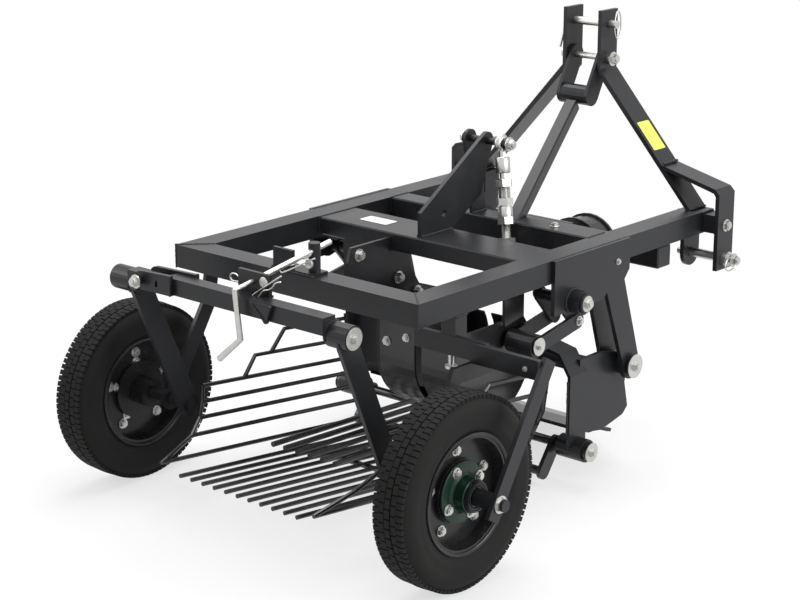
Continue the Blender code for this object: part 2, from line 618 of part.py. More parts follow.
def make_sieve():
    half = (SIEVE_RODS - 1) * SIEVE_PITCH / 2
    reach = SIEVE_LUG_X - SEAT
    front = pin("c", "X", (0, *SIEVE_FRONT), SIEVE_BAR_RADIUS, -reach, reach, "black_gloss", steps=12)
    under = 0.230
    middle = pin("c", "X", (0, under, sieve_z(under) - 0.007), 0.006, -half - 0.015, half + 0.015,
                 "black_gloss", steps=10)
    places = [(index - (SIEVE_RODS - 1) / 2) * SIEVE_PITCH for index in range(SIEVE_RODS)]
    rods = [rod("c", [(x, *SIEVE_FRONT), (x, *SIEVE_REAR)]) for x in places]
    joined("sieve_grate", [front, middle, *rods])
    # The shaft that the grate swings on, with the lugs that hold the grate's front bar between them.
    reach = 0.366
    shaft = pin("c", "X", (0, *SIEVE_SHAFT), SIEVE_SHAFT_RADIUS, -reach - 0.006, reach + 0.006,
                "black_gloss", heads=((reach + 0.004, 0.3608, 0.021), (-0.3608, -reach - 0.004, 0.021)))
    lugs = []
    for side, _ in SIDES:
        edges = sorted((side * SIEVE_LUG_X, side * (SIEVE_LUG_X + PLATE)))
        lugs.append(plate("c", "YZ", round_bar(SIEVE_FRONT, SIEVE_SHAFT, 0.034, 6), *edges, "black_gloss"))
    joined("sieve_shaft", [*lugs[:1], shaft, *lugs[1:]])


WALL_RODS = (        # x, rear y, rear z, of the rods of a side wall from the bottom up
    (0.222, -0.170, 0.124),
    (0.240, -0.067, 0.152),
    (0.256, -0.027, 0.178),
    (0.270, -0.006, 0.206),
    (0.283, 0.009, 0.236),
)


def make_sieve_walls():
    fall = (SIEVE_REAR[1] - SIEVE_FRONT[1]) / (SIEVE_FRONT[0] - SIEVE_REAR[0])
    for side, word in SIDES:
        rods = []
        for x, y, z in WALL_RODS:
            rods.append(rod("c", [(side * x, WALL_POST_Y, z - fall * (WALL_POST_Y - y)), (side * x, y, z)]))
        x, y, z = WALL_RODS[-1]
        base = (side * x, 0.136, z - fall * (0.136 - y))
        high = (side * (x + 0.010), 0.181, 0.262)
        end = (side * (x + 0.010), WALL_POST_Y, 0.262 - fall * (WALL_POST_Y - 0.181))
        rods.append(rod("c", [base, high, end]))
        base = (side * (x + 0.010), 0.231, 0.262 - fall * 0.050)
        high = (side * (x + 0.015), 0.280, 0.300)
        rods.append(rod("c", [base, high, (side * (x + 0.015), WALL_POST_Y, 0.300 - fall * (WALL_POST_Y - 0.280))]))
        rear = rod("c", [(side * x, y, z) for x, y, z in WALL_RODS])
        x, y, z = WALL_RODS[0]
        seat = SIEVE_FRONT[1] + SIEVE_BAR_RADIUS + SEAT
        foot = (side * (x - 0.006), SIEVE_FRONT[0], seat)
        shin = (side * (x - 0.006), SIEVE_FRONT[0], seat + 0.014)
        bend = (side * x, WALL_POST_Y, z - fall * (WALL_POST_Y - y))
        knee = (side * WALL_RODS[-1][0], WALL_POST_Y, WALL_RODS[-1][2] - fall * (WALL_POST_Y - WALL_RODS[-1][1]))
        top = (side * (WALL_RODS[-1][0] + 0.015), WALL_POST_Y, 0.290)
        post = rod("c", [foot, shin, bend, knee, top], 0.0065)
        joined(f"sieve_wall_{word}", [post, *rods, rear])


# ---------------------------------------------------------------- wheels and what carries them
def make_wheels():
    for side, word in SIDES:
        centre = (side * WHEEL_X, WHEEL_Y, TYRE_RADIUS)
        half = TYRE_WIDTH / 2
        bead = RIM_RADIUS + SEAT
        outer = [(bead, 0.030), (bead + 0.010, 0.030), (0.142, half * 0.92), (0.166, half), (0.184, half * 0.86),
                 (0.194, half * 0.66), (TYRE_RADIUS, half * 0.30)]
        turned(f"tyre_{word}", "X", centre, outer + [(radius, -high) for radius, high in outer[::-1]],
               "rubber", WHEEL_STEPS)
        bore = AXLE_RADIUS + RUN
        lip, rim_half, web = RIM_RADIUS + 0.008, 0.0305, 0.004
        profile = [(bore, HUB_HALF), (HUB_RADIUS, HUB_HALF), (HUB_RADIUS, web + 0.010), (0.066, web + 0.010),
                   (0.066, web), (RIM_RADIUS - 0.004, web), (RIM_RADIUS - 0.004, rim_half + 0.004),
                   (lip, rim_half + 0.004), (lip, rim_half), (RIM_RADIUS, rim_half),
                   (RIM_RADIUS, -rim_half), (lip, -rim_half), (lip, -rim_half - 0.004),
                   (RIM_RADIUS - 0.004, -rim_half - 0.004), (RIM_RADIUS - 0.004, -web), (HUB_RADIUS, -web),
                   (HUB_RADIUS, -HUB_HALF), (bore, -HUB_HALF)]
        turned(f"rim_{word}", "X", centre, profile, "rim_black", WHEEL_STEPS)


def axle_pin(side, end):
    """The round bar that a wheel turns on, from the rear arm outwards."""
    low, high = sorted((side * AXLE_INNER_X, side * end))
    return pin("c", "X", (0, WHEEL_Y, TYRE_RADIUS), AXLE_RADIUS, low, high, "powder_coat")


def make_carriage():
    """The rear cross tube, with a boss on its right, a clevis on its left and a plate for the spindle."""
    y, z = CARRIAGE
    half = CARRIAGE_SIZE / 2
    left, right = CARRIAGE_X
    pieces = [block("c", (left, y - half, z - half), (right, y + half, z + half)),
              pin("c", "X", (0, *BOSS), BOSS_RADIUS, *BOSS_RIGHT_X, "powder_coat", steps=24)]
    lap = 0.001
    slot = round_bar((-0.194, z - 0.005), (-0.194, z + 0.004), 0.008, 4)
    for place, end in ((y - half - CLEVIS_PLATE + lap, -0.152), (y + half - lap, -0.122)):
        outline = arc((CLEVIS_BOLT_X, z), 0.020, 90, 270, 8) + [(end, z - 0.0185), (end, z + 0.024)]
        pieces.append(plate("c", "XZ", outline, place, place + CLEVIS_PLATE, holes=[slot]))
    pieces.append(pin("c", "Y", (CLEVIS_BOLT_X, 0, z), CLEVIS_BOLT_RADIUS, y - half - CLEVIS_PLATE - 0.004,
                      y + half + CLEVIS_PLATE + 0.004))
    front = y + half - lap
    upright = [(0.003, z - 0.012), (0.003, 0.588), (0.090, 0.588), (0.090, z - 0.012)]
    pieces.append(plate("c", "XZ", upright, front, front + 0.008))
    rear = y - half + lap
    pieces.append(plate("c", "XZ", [(0.078, z + half - 0.001), (0.134, z + half - 0.001), (0.120, 0.504)],
                        rear - 0.008, rear))
    joined("carriage_tube", [joined("c1", pieces), spindle_rod(SEAT * 2)], "DIFFERENCE")


def spindle_rod(more=0.0):
    """The spindle's straight part, thicker by more."""
    points = [(SPINDLE_X, *SPINDLE_REAR), (SPINDLE_X, *SPINDLE_FRONT)]
    return rod("c", points, SPINDLE_RADIUS + more, "zinc", 3)


def make_spindle():
    """The depth spindle with its crank handle, and the bracket that holds it on the rear beam."""
    y = SPINDLE_REAR[0]
    rod("spindle", [(-0.004, y, 0.409), (0.057, y, 0.462), (SPINDLE_X, *SPINDLE_REAR), (SPINDLE_X, *SPINDLE_FRONT)],
        SPINDLE_RADIUS, "zinc", 3)
    foot = FRAME_TOP + SEAT
    base = block("c", (-0.058, 0.004, foot), (0.062, 0.046, foot + 0.006))
    upright = plate("c", "XZ", [(-0.057, foot + 0.003), (-0.057, 0.590), (-0.002, 0.590), (-0.002, foot + 0.003)],
                    0.008, 0.016)
    swivel = pin("c", "Z", (SPINDLE_X, 0.026, 0), 0.0125, foot + 0.003, 0.612, "powder_coat")
    joined("spindle_bracket", [joined("c1", [base, upright, swivel]), spindle_rod(SEAT * 2)], "DIFFERENCE")


def make_arms():
    """The rear arms with the axles in them, and the left wheel's front arm."""
    y, z = BOSS
    axle = (WHEEL_Y, TYRE_RADIUS)
    for side, word, end in ((LEFT, "left", AXLE_LEFT_END), (RIGHT, "right", AXLE_RIGHT_END)):
        edges = sorted((side * ARM_X, side * (ARM_X + PLATE)))
        along = (Vector(axle) - Vector(BOSS)).normalized()
        top = Vector(BOSS) + along * (0.0 if side == LEFT else BOSS_RADIUS * 0.6)
        bar = plate("c", "YZ", round_bar(tuple(top), axle, ARM_WIDTH), *edges)
        body = joined("c1", [bar, axle_pin(side, end)])
        if side == RIGHT:
            seat = pin("c", "X", (0, y, z), BOSS_RADIUS + SEAT, -0.6, 0.6, steps=24)
            joined("arm_right_rear", [body, seat], "DIFFERENCE")
            continue
        # The left arm's boss ends in a tongue between the clevis plates.
        boss = pin("c", "X", (0, y, z), BOSS_RADIUS, *BOSS_LEFT_X, "powder_coat", steps=24)
        middle, inside = CARRIAGE[0], CARRIAGE_SIZE / 2 - 0.001 - SEAT
        tongue = block("c", (-ARM_X - 0.004, middle - inside, CARRIAGE[1] - 0.017),
                       (CLEVIS_BOLT_X + 0.020, middle + inside, CARRIAGE[1] + 0.011))
        hole = pin("c", "Y", (CLEVIS_BOLT_X, 0, CARRIAGE[1]), CLEVIS_BOLT_RADIUS + SEAT, -0.4, 0.1)
        joined("arm_left_rear", [joined("c2", [body, boss, tongue]), hole], "DIFFERENCE")
    path = [(WHEEL_Y, TYRE_RADIUS), (0.095, 0.392), (0.120, 0.530)]
    bar = plate("c", "YZ", bar_outline(path, 0.036), -HALF - SEAT - PLATE, -HALF - SEAT)
    end = plate("c", "YZ", circle(axle, 0.024), -HALF - SEAT - PLATE - 0.001, -HALF - SEAT + 0.0001)
    hole = pin("c", "X", (0, *axle), AXLE_RADIUS + SEAT, -0.6, 0.6)
    joined("arm_left_front", [joined("c1", [bar, end]), hole], "DIFFERENCE")


def make_outer_leg():
    """The right wheel's outer support: a bar under the side beam, and a second bar with a leg to the axle's end."""
    low, high = SUPPORT_Z
    bar = block("c", (SUPPORT_X[0], SUPPORT_Y, low), (SUPPORT_X[1], SUPPORT_Y + SUPPORT_BAR, high))
    post = block("c", (0.306, SUPPORT_Y + 0.0005, high - 0.020), (HALF - 0.001, SUPPORT_Y + 0.036, BEAM_UNDER))
    joined("support_bar", [bar, post])
    rear = SUPPORT_Y - SEAT
    second = block("c", (OUTER_BAR_X, rear - SUPPORT_BAR, low), (OUTER_LEG_X + 0.002, rear, high - 0.001))
    axle = Vector((WHEEL_Y, TYRE_RADIUS))
    top = Vector((0.128, 0.450))
    along = (axle - top).normalized()
    leg = plate("c", "YZ", bar_outline([tuple(top), tuple(axle + along * 0.036)], OUTER_LEG_WIDTH),
                OUTER_LEG_X, OUTER_LEG_X + PLATE)
    hole = pin("c", "X", (0, *axle), AXLE_RADIUS + SEAT, 0.4, 0.7)
    joined("outer_leg", [joined("c1", [second, leg]), hole], "DIFFERENCE")
    # The bent bar from under the support to the axle, inside the wheel.
    width = 0.034
    level = low - SEAT - width / 2
    path = [(0.168, level), (0.060, level), (WHEEL_Y, TYRE_RADIUS)]
    bar = plate("c", "YZ", bar_outline(path, width), INNER_BAR_X, INNER_BAR_X + PLATE)
    end = plate("c", "YZ", circle(tuple(axle), 0.024), INNER_BAR_X - 0.001, INNER_BAR_X + PLATE + 0.001)
    hole = pin("c", "X", (0, *axle), AXLE_RADIUS + SEAT, 0.2, 0.7)
    joined("inner_bar", [joined("c1", [bar, end]), hole], "DIFFERENCE")


# ---------------------------------------------------------------- drive
def make_gear_housing():
    """The gearbox on its plate under the middle beam, with the end wall of the crank's guard on its right."""
    under = FRAME_TOP - MIDDLE_BEAM_DROP - MIDDLE_BEAM_HEIGHT - SEAT
    low, high = GEARBOX_Y
    first, second = DRIVE_PLATES_X
    box = block("c", (first + DRIVE_PLATE / 2, low, GEARBOX_Z[0]), (second + DRIVE_PLATE / 2, high, GEARBOX_Z[1]))
    rear = MIDDLE_BEAM_Y - SEAT
    outline = [(0.262, 0.300), (0.250, 0.340), (0.250, 0.500), (0.262, 0.532), (rear, 0.532), (rear, under),
               (0.448, under), (0.449, 0.480), (0.461, 0.445), (0.486, 0.407), (0.567, 0.378), (0.567, 0.366),
               (0.480, 0.360), (0.466, 0.300), (0.440, 0.262), (0.290, 0.262)]
    hanger = plate("c", "YZ", outline, first, first + DRIVE_PLATE)
    wall = plate("c", "YZ", guard_end(), second, second + DRIVE_PLATE)
    rail = block("c", (-0.218, rear + 0.006, 0.470), (first + 0.004, rear + 0.014, under))
    case = block("c", (-0.218, rear + 0.007, 0.415), (-0.142, 0.470, under - 0.001))
    snout = pin("c", "Y", (0, 0, PTO_Z), PTO_SNOUT_RADIUS, high - 0.010, high + 0.045, "powder_coat", steps=24)
    body = joined("c1", [box, hanger, wall, rail, case, snout])
    bore = pin("c", "Y", (0, 0, PTO_Z), PTO_RADIUS + RUN, high + 0.004, high + 0.2, steps=20)
    crank_bore = pin("c", "X", (0, *CRANK), CRANK_RADIUS + RUN, second - 0.020, 0.4, steps=20)
    joined("gear_housing", [body, bore, crank_bore], "DIFFERENCE")


def guard_end():
    """The outline of the guard's closed end: round below, flat on top."""
    y, z = CRANK
    front = z + GUARD_RADIUS * sin(radians(GUARD_ARC[1]))
    return ([(y - GUARD_RADIUS, GUARD_TOP)] + arc(CRANK, GUARD_RADIUS, *GUARD_ARC, 26)
            + [(y + GUARD_RADIUS * cos(radians(GUARD_ARC[1])) - 0.012, max(front, GUARD_TOP))])


def make_guards():
    """The curved guard round the crank, in two shells with a slot between them for the drive rod."""
    face = DRIVE_PLATES_X[1] + DRIVE_PLATE + SEAT
    y = CRANK[0] - GUARD_RADIUS
    shell = ([(y, GUARD_TOP)] + arc(CRANK, GUARD_RADIUS, *GUARD_ARC, 26)
             + arc(CRANK, GUARD_RADIUS - GUARD_WALL, *GUARD_ARC[::-1], 26) + [(y + GUARD_WALL, GUARD_TOP)])
    plate("guard_inner", "YZ", shell, face, DRIVE_ROD_X - MOVING_GAP, "black_gloss")
    outer = plate("c", "YZ", shell, DRIVE_ROD_X + DRIVE_ROD_THICKNESS + MOVING_GAP, GUARD_END_X, "black_gloss")
    end = plate("c", "YZ", guard_end(), GUARD_END_X - 0.002, GUARD_END_X + 0.004, "black_gloss",
                holes=[circle(CRANK, CRANK_RADIUS + RUN)])
    under = FRAME_TOP - MIDDLE_BEAM_DROP - MIDDLE_BEAM_HEIGHT - SEAT
    hanger = plate("c", "YZ", [(0.396, 0.380), (0.396, under), (0.462, under), (0.462, 0.380)],
                   GUARD_END_X - 0.001, GUARD_END_X + 0.006, "black_gloss")
    joined("guard_outer", [outer, end, hanger])


def make_crank():
    y, z = CRANK
    shaft = pin("c", "X", (0, y, z), CRANK_RADIUS, DRIVE_PLATES_X[1] - 0.006, GUARD_END_X + 0.008, "steel",
                heads=((FLYWHEEL_X[1], FLYWHEEL_X[0], FLYWHEEL_RADIUS),), steps=28)
    lobe = pin("c", "X", (0, y, z + ECCENTRIC_THROW), ECCENTRIC_RADIUS, DRIVE_ROD_X - 0.002,
               DRIVE_ROD_X + DRIVE_ROD_THICKNESS + 0.002, "steel", steps=28)
    joined("crank_shaft", [shaft, lobe])


def make_pto():
    rear = GEARBOX_Y[1] + 0.005
    pin("pto_shaft", "Y", (0, 0, PTO_Z), PTO_RADIUS, rear, PTO_FRONT, "steel", steps=20)
    # The guard ring on its sleeve, held by a plate on the drawbar tube.
    plate_y = DRAWBAR_Y + DRAWBAR_SIZE + SEAT
    sleeve, bore = 0.032, PTO_RADIUS + MOVING_GAP
    low, high = RING_Y
    inside = RING_RADIUS - 0.004
    profile = [(inside, high), (RING_RADIUS + RING_LIP, high), (RING_RADIUS + RING_LIP, high - 0.006),
               (RING_RADIUS, high - 0.006), (RING_RADIUS, low + 0.006), (RING_RADIUS + RING_LIP, low + 0.006),
               (RING_RADIUS + RING_LIP, low), (sleeve, low), (sleeve, plate_y + 0.003), (bore, plate_y + 0.003),
               (bore, low + 0.008), (inside, low + 0.008)]
    ring = turned("c", "Y", (0, 0, PTO_Z), profile, "black_gloss", 28)
    outline = [(-0.065, BEAM_UNDER), (-0.065, PTO_Z - 0.020), (-0.040, PTO_Z - 0.045), (0.040, PTO_Z - 0.045),
               (0.065, PTO_Z - 0.020), (0.065, BEAM_UNDER)]
    back = plate("c", "XZ", outline, plate_y, plate_y + 0.008, "black_gloss", holes=[circle((0, PTO_Z), bore)])
    joined("pto_guard", [ring, back])


# ---------------------------------------------------------------- bracket and turnbuckle
def make_bracket():
    base = FRAME_TOP - MIDDLE_BEAM_DROP + SEAT
    y, z = BRACKET_PIN
    outline = ([(0.400, base), (0.505, base), (0.606, 0.603)] + arc(BRACKET_PIN, 0.020, -10, 125, 8)
               + [(0.400, 0.596)])
    holes = [circle((0.478, 0.582), 0.0075), circle(BRACKET_PIN, BRACKET_PIN_RADIUS + SEAT)]
    plate("bracket_plate", "YZ", outline, *BRACKET_X, holes=holes)
    top = FRAME_TOP + SEAT
    strut = plate("c", "YZ", [(FRONT_BEAM_Y + 0.004, top), (FRONT_BEAM_Y + 0.054, top)]
                  + arc(BRACKET_PIN, 0.020, 0, 180, 8), *STRUT_X)
    bolt = pin("c", "X", (0, y, z), BRACKET_PIN_RADIUS, STRUT_X[0] - 0.008, TURNBUCKLE_TOP_X + 0.022, "zinc",
               heads=((STRUT_X[0] + 0.002, STRUT_X[0] - 0.008, 0.014),
                      (TURNBUCKLE_TOP_X + 0.022, TURNBUCKLE_TOP_X + 0.0130, 0.014)))
    joined("bracket_strut", [strut, bolt])


def make_turnbuckle():
    top = Vector((TURNBUCKLE_TOP_X, *BRACKET_PIN))
    foot = Vector(TURNBUCKLE_FOOT)
    along = (foot - top).normalized()
    length = (foot - top).length
    pieces = [rod("c", [top + along * 0.0115, foot - along * 0.0115], TURNBUCKLE_ROD, "zinc"),
              rod("c", [top + along * length * 0.30, top + along * length * 0.68], TURNBUCKLE_BODY, "zinc")]
    for place in (top, foot):
        pieces.append(pin("c", "X", tuple(place), TURNBUCKLE_EYE, -0.0062, 0.0062, "zinc", steps=18))
    hole = pin("c", "X", (0, *BRACKET_PIN), BRACKET_PIN_RADIUS + SEAT, -0.2, 0.2)
    low_hole = pin("c", "X", (0, foot.y, foot.z), 0.0073, -0.2, 0.3)
    joined("turnbuckle", [joined("c1", pieces), hole, low_hole], "DIFFERENCE")
    front = MIDDLE_BEAM_Y + MIDDLE_BEAM_WIDTH + SEAT
    lug = plate("c", "YZ", [(front, 0.532), (front, 0.448)] + arc((foot.y, foot.z), 0.018, -90, 90, 8), 0.1105, 0.1185)
    bolt = pin("c", "X", (0, foot.y, foot.z), 0.007, 0.0795, 0.1245, "zinc", heads=((0.0865, 0.0795, 0.013),))
    joined("turnbuckle_lug", [lug, bolt])


# ---------------------------------------------------------------- the joints' axes, and the whole machine
BODIES = {               # the axis of each moving body, and its pieces
    "wheel_left": ((-WHEEL_X, WHEEL_Y, TYRE_RADIUS), ("tyre_left", "rim_left")),
    "wheel_right": ((WHEEL_X, WHEEL_Y, TYRE_RADIUS), ("tyre_right", "rim_right")),
    "pto": ((0, RING_Y[0], PTO_Z), ("pto_shaft",)),
    "crank": ((0, *CRANK), ("crank_shaft",)),
    "rocker_left": ((-LINK_OUTER_X, *ROCKER_SHAFT), ("rocker_arm_left", "rocker_link_left")),
    "rocker_right": ((LINK_OUTER_X, *ROCKER_SHAFT), ("rocker_arm_right", "rocker_link_right")),
    "share_box": ((0, *SHARE_PIVOT), ("box_side_left", "box_side_right", "box_floor", "share_blade",
                                      "share_fingers", "drive_rod")),
    "sieve": ((0, *SIEVE_SHAFT), ("sieve_shaft", "sieve_grate", "sieve_wall_left",
                                      "sieve_wall_right")),
}


def hang_on_axes():
    """Parents each moving piece to an empty on its joint's axis, and centres the machine over the origin."""
    bpy.context.view_layer.update()
    front = max(HITCH_Y + HITCH_BAR / 2, PTO_FRONT)
    middle_x = (AXLE_RIGHT_END - AXLE_LEFT_END) / 2
    low_y, high_y = WHEEL_Y - TYRE_RADIUS, front
    datum = bpy.data.objects.new("machine", None)
    bpy.data.collections["potato_digger"].objects.link(datum)
    for thing in list(bpy.data.collections["potato_digger"].objects):
        if thing is not datum and thing.parent is None:
            thing.parent = datum
    for body, (place, names) in BODIES.items():
        axis = bpy.data.objects.new(f"{body}_axis", None)
        bpy.data.collections["potato_digger"].objects.link(axis)
        axis.location = place
        axis.parent = datum
        for name in names:
            piece = bpy.data.objects[name]
            piece.parent = axis
            piece.matrix_parent_inverse = Matrix.Translation(-Vector(place))
    datum.location = (-middle_x, -(low_y + high_y) / 2, 0)


def make_all():
    clear_scene()
    for name in ("potato_digger", "cutters"):
        bpy.context.scene.collection.children.link(bpy.data.collections.new(name))
    make_frame()
    make_mast()
    make_strap_and_brace()
    make_hitch_lugs()
    make_side_plates()
    make_rockers()
    make_box_sides()
    make_share()
    make_fingers()
    make_drive_rod()
    make_sieve()
    make_sieve_walls()
    make_wheels()
    make_carriage()
    make_spindle()
    make_arms()
    make_outer_leg()
    make_gear_housing()
    make_guards()
    make_crank()
    make_pto()
    make_bracket()
    make_turnbuckle()
    hang_on_axes()


make_all()
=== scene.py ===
"""Looks of the vibrating potato digger: finishes, tyre tread, fasteners, clips, welds and the studio."""

import json
from math import atan2, cos, pi, radians, sin

import bmesh
import bpy
from bpy.props import FloatProperty, FloatVectorProperty, IntProperty, PointerProperty
from mathutils import Matrix, Vector


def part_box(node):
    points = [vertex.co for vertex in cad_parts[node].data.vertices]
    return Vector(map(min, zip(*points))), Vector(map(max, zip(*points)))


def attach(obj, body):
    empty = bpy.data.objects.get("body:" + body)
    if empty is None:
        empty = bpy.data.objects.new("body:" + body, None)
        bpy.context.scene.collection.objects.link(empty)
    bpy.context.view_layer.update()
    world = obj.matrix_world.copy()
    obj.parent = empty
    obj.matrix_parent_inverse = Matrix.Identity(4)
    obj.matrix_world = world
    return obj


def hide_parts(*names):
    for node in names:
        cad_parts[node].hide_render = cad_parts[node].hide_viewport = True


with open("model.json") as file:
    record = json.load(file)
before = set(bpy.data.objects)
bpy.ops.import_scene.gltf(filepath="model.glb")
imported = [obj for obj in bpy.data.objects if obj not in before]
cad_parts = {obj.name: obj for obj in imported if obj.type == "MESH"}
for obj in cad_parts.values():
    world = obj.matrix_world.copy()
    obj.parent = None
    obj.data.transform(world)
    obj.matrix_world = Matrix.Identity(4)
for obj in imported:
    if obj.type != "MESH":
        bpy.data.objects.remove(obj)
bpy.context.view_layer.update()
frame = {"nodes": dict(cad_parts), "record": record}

bl_info = {
    "name": "Potato digger looks",
    "version": (1, 0, 0),
    "blender": (4, 5, 0),
    "location": "View3D > Sidebar > Digger",
    "description": "Finishes, tyre tread, fasteners and studio for a vibrating potato digger",
    "category": "Object",
}

BLACK_NODES = ("guard_inner", "guard_outer", "share_fingers", "sieve_grate", "sieve_shaft",
               "sieve_wall_left", "sieve_wall_right", "pto_guard")
ZINC_NODES = ("turnbuckle", "top_link_pin", "mast_bolt", "lug_pin_left", "lug_pin_right", "spindle")
STEEL_NODES = ("crank_shaft", "pto_shaft")
SIDES = (("left", -1), ("right", 1))
REAR_LOW, REAR_HIGH = (Vector(corner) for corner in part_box("rear_beam"))
# the middle of the rear beam's rear face, at the floor
DATUM = Vector(((REAR_LOW.x + REAR_HIGH.x) / 2, REAR_LOW.y, 0))
BEAM_TOP = REAR_HIGH.z
PIVOTS = {joint["name"]: Vector(joint["pos_m"]) for joint in frame["record"]["behaviour"]["joints"]}


def at(x, y, z):
    """A place given from the middle of the rear beam's rear face and the floor."""
    return DATUM + Vector((x, y, z))


def middle(node):
    """The middle of a solid's box."""
    low, high = (Vector(corner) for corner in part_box(node))
    return (low + high) / 2


def beside(spot, x):
    """The place level with this spot, x to the right of the frame's middle plane."""
    return Vector((DATUM.x + x, spot.y, spot.z))


# ---------------- sizes and colours a user would change
class FinishSettings(bpy.types.PropertyGroup):
    coat_colour: FloatVectorProperty(
        name="Coat", description="Colour of the powder coat", subtype="COLOR", size=4,
        default=(0.013, 0.0135, 0.0155, 1), min=0, max=1)
    gloss_colour: FloatVectorProperty(
        name="Rods", description="Colour of the glossy rods and guards", subtype="COLOR", size=4,
        default=(0.012, 0.012, 0.013, 1), min=0, max=1)
    zinc_colour: FloatVectorProperty(
        name="Zinc", description="Colour of the plated fasteners", subtype="COLOR", size=4,
        default=(0.60, 0.60, 0.58, 1), min=0, max=1)
    rubber_colour: FloatVectorProperty(
        name="Rubber", description="Colour of the tyres", subtype="COLOR", size=4,
        default=(0.026, 0.026, 0.025, 1), min=0, max=1)
    hub_colour: FloatVectorProperty(
        name="Hub", description="Colour of the hub flanges", subtype="COLOR", size=4,
        default=(0.004, 0.022, 0.013, 1), min=0, max=1)
    peel_size: FloatProperty(
        name="Peel", description="Height of the coat's orange peel", unit="LENGTH", default=0.00004, min=0)


class TyreSettings(bpy.types.PropertyGroup):
    groove_depth: FloatProperty(
        name="Groove", description="Depth of the tread's grooves", unit="LENGTH", default=0.0042, min=0)
    stations: IntProperty(name="Stations", description="Tread blocks round a tyre", default=62, min=8)
    shoulder_bars: IntProperty(name="Shoulder bars", description="Bars round each shoulder", default=96, min=8)
    sipe_width: FloatProperty(
        name="Sipe", description="Gap between blocks round the tyre", unit="LENGTH", default=0.0030, min=0)


class HardwareSettings(bpy.types.PropertyGroup):
    wire_radius: FloatProperty(
        name="Wire", description="Radius of the wire of the clips", unit="LENGTH", default=0.0017, min=0)
    bead_pitch: FloatProperty(
        name="Bead pitch", description="Distance between the ripples of a weld", unit="LENGTH", default=0.0024,
        min=0.0005)
    thread_pitch: FloatProperty(
        name="Thread pitch", description="Distance between the turns of a thread", unit="LENGTH", default=0.0022,
        min=0.0005)


class StudioSettings(bpy.types.PropertyGroup):
    lens: FloatProperty(name="Lens", description="Camera lens in millimetres", default=90.5, min=1)
    top_power: FloatProperty(name="Top", description="Power of the lamp overhead", subtype="POWER", default=95)
    side_power: FloatProperty(name="Side", description="Power of the lamp at the right", subtype="POWER",
                              default=70)
    sky: FloatProperty(name="Sky", description="Strength of the world's light", default=0.55, min=0)


# ---------------- shader maths
SATIN_SPECULAR = 0.30
RUBBER_SPECULAR = 0.16
STICKER_YELLOW = (0.50, 0.55, 0.10, 1)
STICKER_WHITE = (0.72, 0.72, 0.70, 1)
STICKER_PEEL = 0.00002
STEEL_DARK = (0.22, 0.22, 0.22, 1)
STEEL_BRIGHT = (0.42, 0.41, 0.40, 1)


class Signal:
    """A socket in a material's tree. Plain arithmetic on it adds Math nodes."""

    def __init__(self, paint, socket):
        self.paint = paint
        self.socket = socket

    def math(self, operation, other):
        return self.paint.node("ShaderNodeMath", {"operation": operation}, (self, other))

    def __add__(self, other):
        return self.math("ADD", other)

    def __mul__(self, other):
        return self.math("MULTIPLY", other)

    def above(self, low, high):
        """0 below low, 1 above high, with a soft ramp between."""
        settings = {"interpolation_type": "SMOOTHSTEP"}
        return self.paint.node("ShaderNodeMapRange", settings, (self, low, high, 0, 1))


class Paint:
    """A material under construction."""

    def __init__(self, name):
        self.material = bpy.data.materials.new(name)
        self.material.use_nodes = True
        self.tree = self.material.node_tree
        self.tree.nodes.clear()
        self.shader = self.tree.nodes.new("ShaderNodeBsdfPrincipled")
        self.output = self.tree.nodes.new("ShaderNodeOutputMaterial")
        self.tree.links.new(self.shader.outputs[0], self.output.inputs[0])

    def node(self, kind, settings=None, values=(), output=0):
        made = self.tree.nodes.new(kind)
        for key, value in (settings or {}).items():
            setattr(made, key, value)
        pairs = values.items() if isinstance(values, dict) else enumerate(values)
        for key, value in pairs:
            self.feed(made.inputs[key], value)
        return Signal(self, made.outputs[output])

    def feed(self, socket, value):
        if isinstance(value, Signal):
            self.tree.links.new(value.socket, socket)
        else:
            socket.default_value = value

    def set(self, **values):
        for key, value in values.items():
            self.feed(self.shader.inputs[key.replace("_", " ").title()], value)

    def place(self):
        return self.node("ShaderNodeTexCoord", output="Object")

    def noise(self, scale, detail=3.0, roughness=0.5, stretch=None):
        where = self.place()
        if stretch:
            where = self.node("ShaderNodeMapping", {}, {"Vector": where, "Scale": stretch})
        return self.node("ShaderNodeTexNoise", {},
                         {"Vector": where, "Scale": scale, "Detail": detail, "Roughness": roughness})

    def mix(self, low, high, amount):
        """One colour blended into another."""
        made = self.tree.nodes.new("ShaderNodeMix")
        made.data_type = "RGBA"
        for socket, value in ((made.inputs[0], amount), (made.inputs[6], low), (made.inputs[7], high)):
            self.feed(socket, value)
        return Signal(self, made.outputs[2])

    def bump(self, height, distance, strength=1.0):
        return self.node("ShaderNodeBump", {}, {"Height": height, "Distance": distance, "Strength": strength})


def shade(colour, factor):
    return (*(min(part * factor, 1) for part in colour[:3]), 1)


def coat_material(name, colour, peel, roughness):
    """Satin powder coat: fine orange peel, cloudy gloss and a little dust in the open."""
    paint = Paint(name)
    cloud = paint.noise(6, 4, 0.55)
    dust = paint.noise(55, 5, 0.65).above(0.58, 0.78)
    peel_noise = paint.noise(900, 2, 0.5)
    base = paint.mix(shade(colour, 0.86), shade(colour, 1.18), cloud)
    paint.set(Base_Color=paint.mix(base, shade(colour, 2.4), dust * 0.30),
              Roughness=cloud * 0.12 + dust * 0.14 + (roughness - 0.06),
              Normal=paint.bump(peel_noise, peel))
    paint.shader.inputs["Specular IOR Level"].default_value = SATIN_SPECULAR
    return paint.material


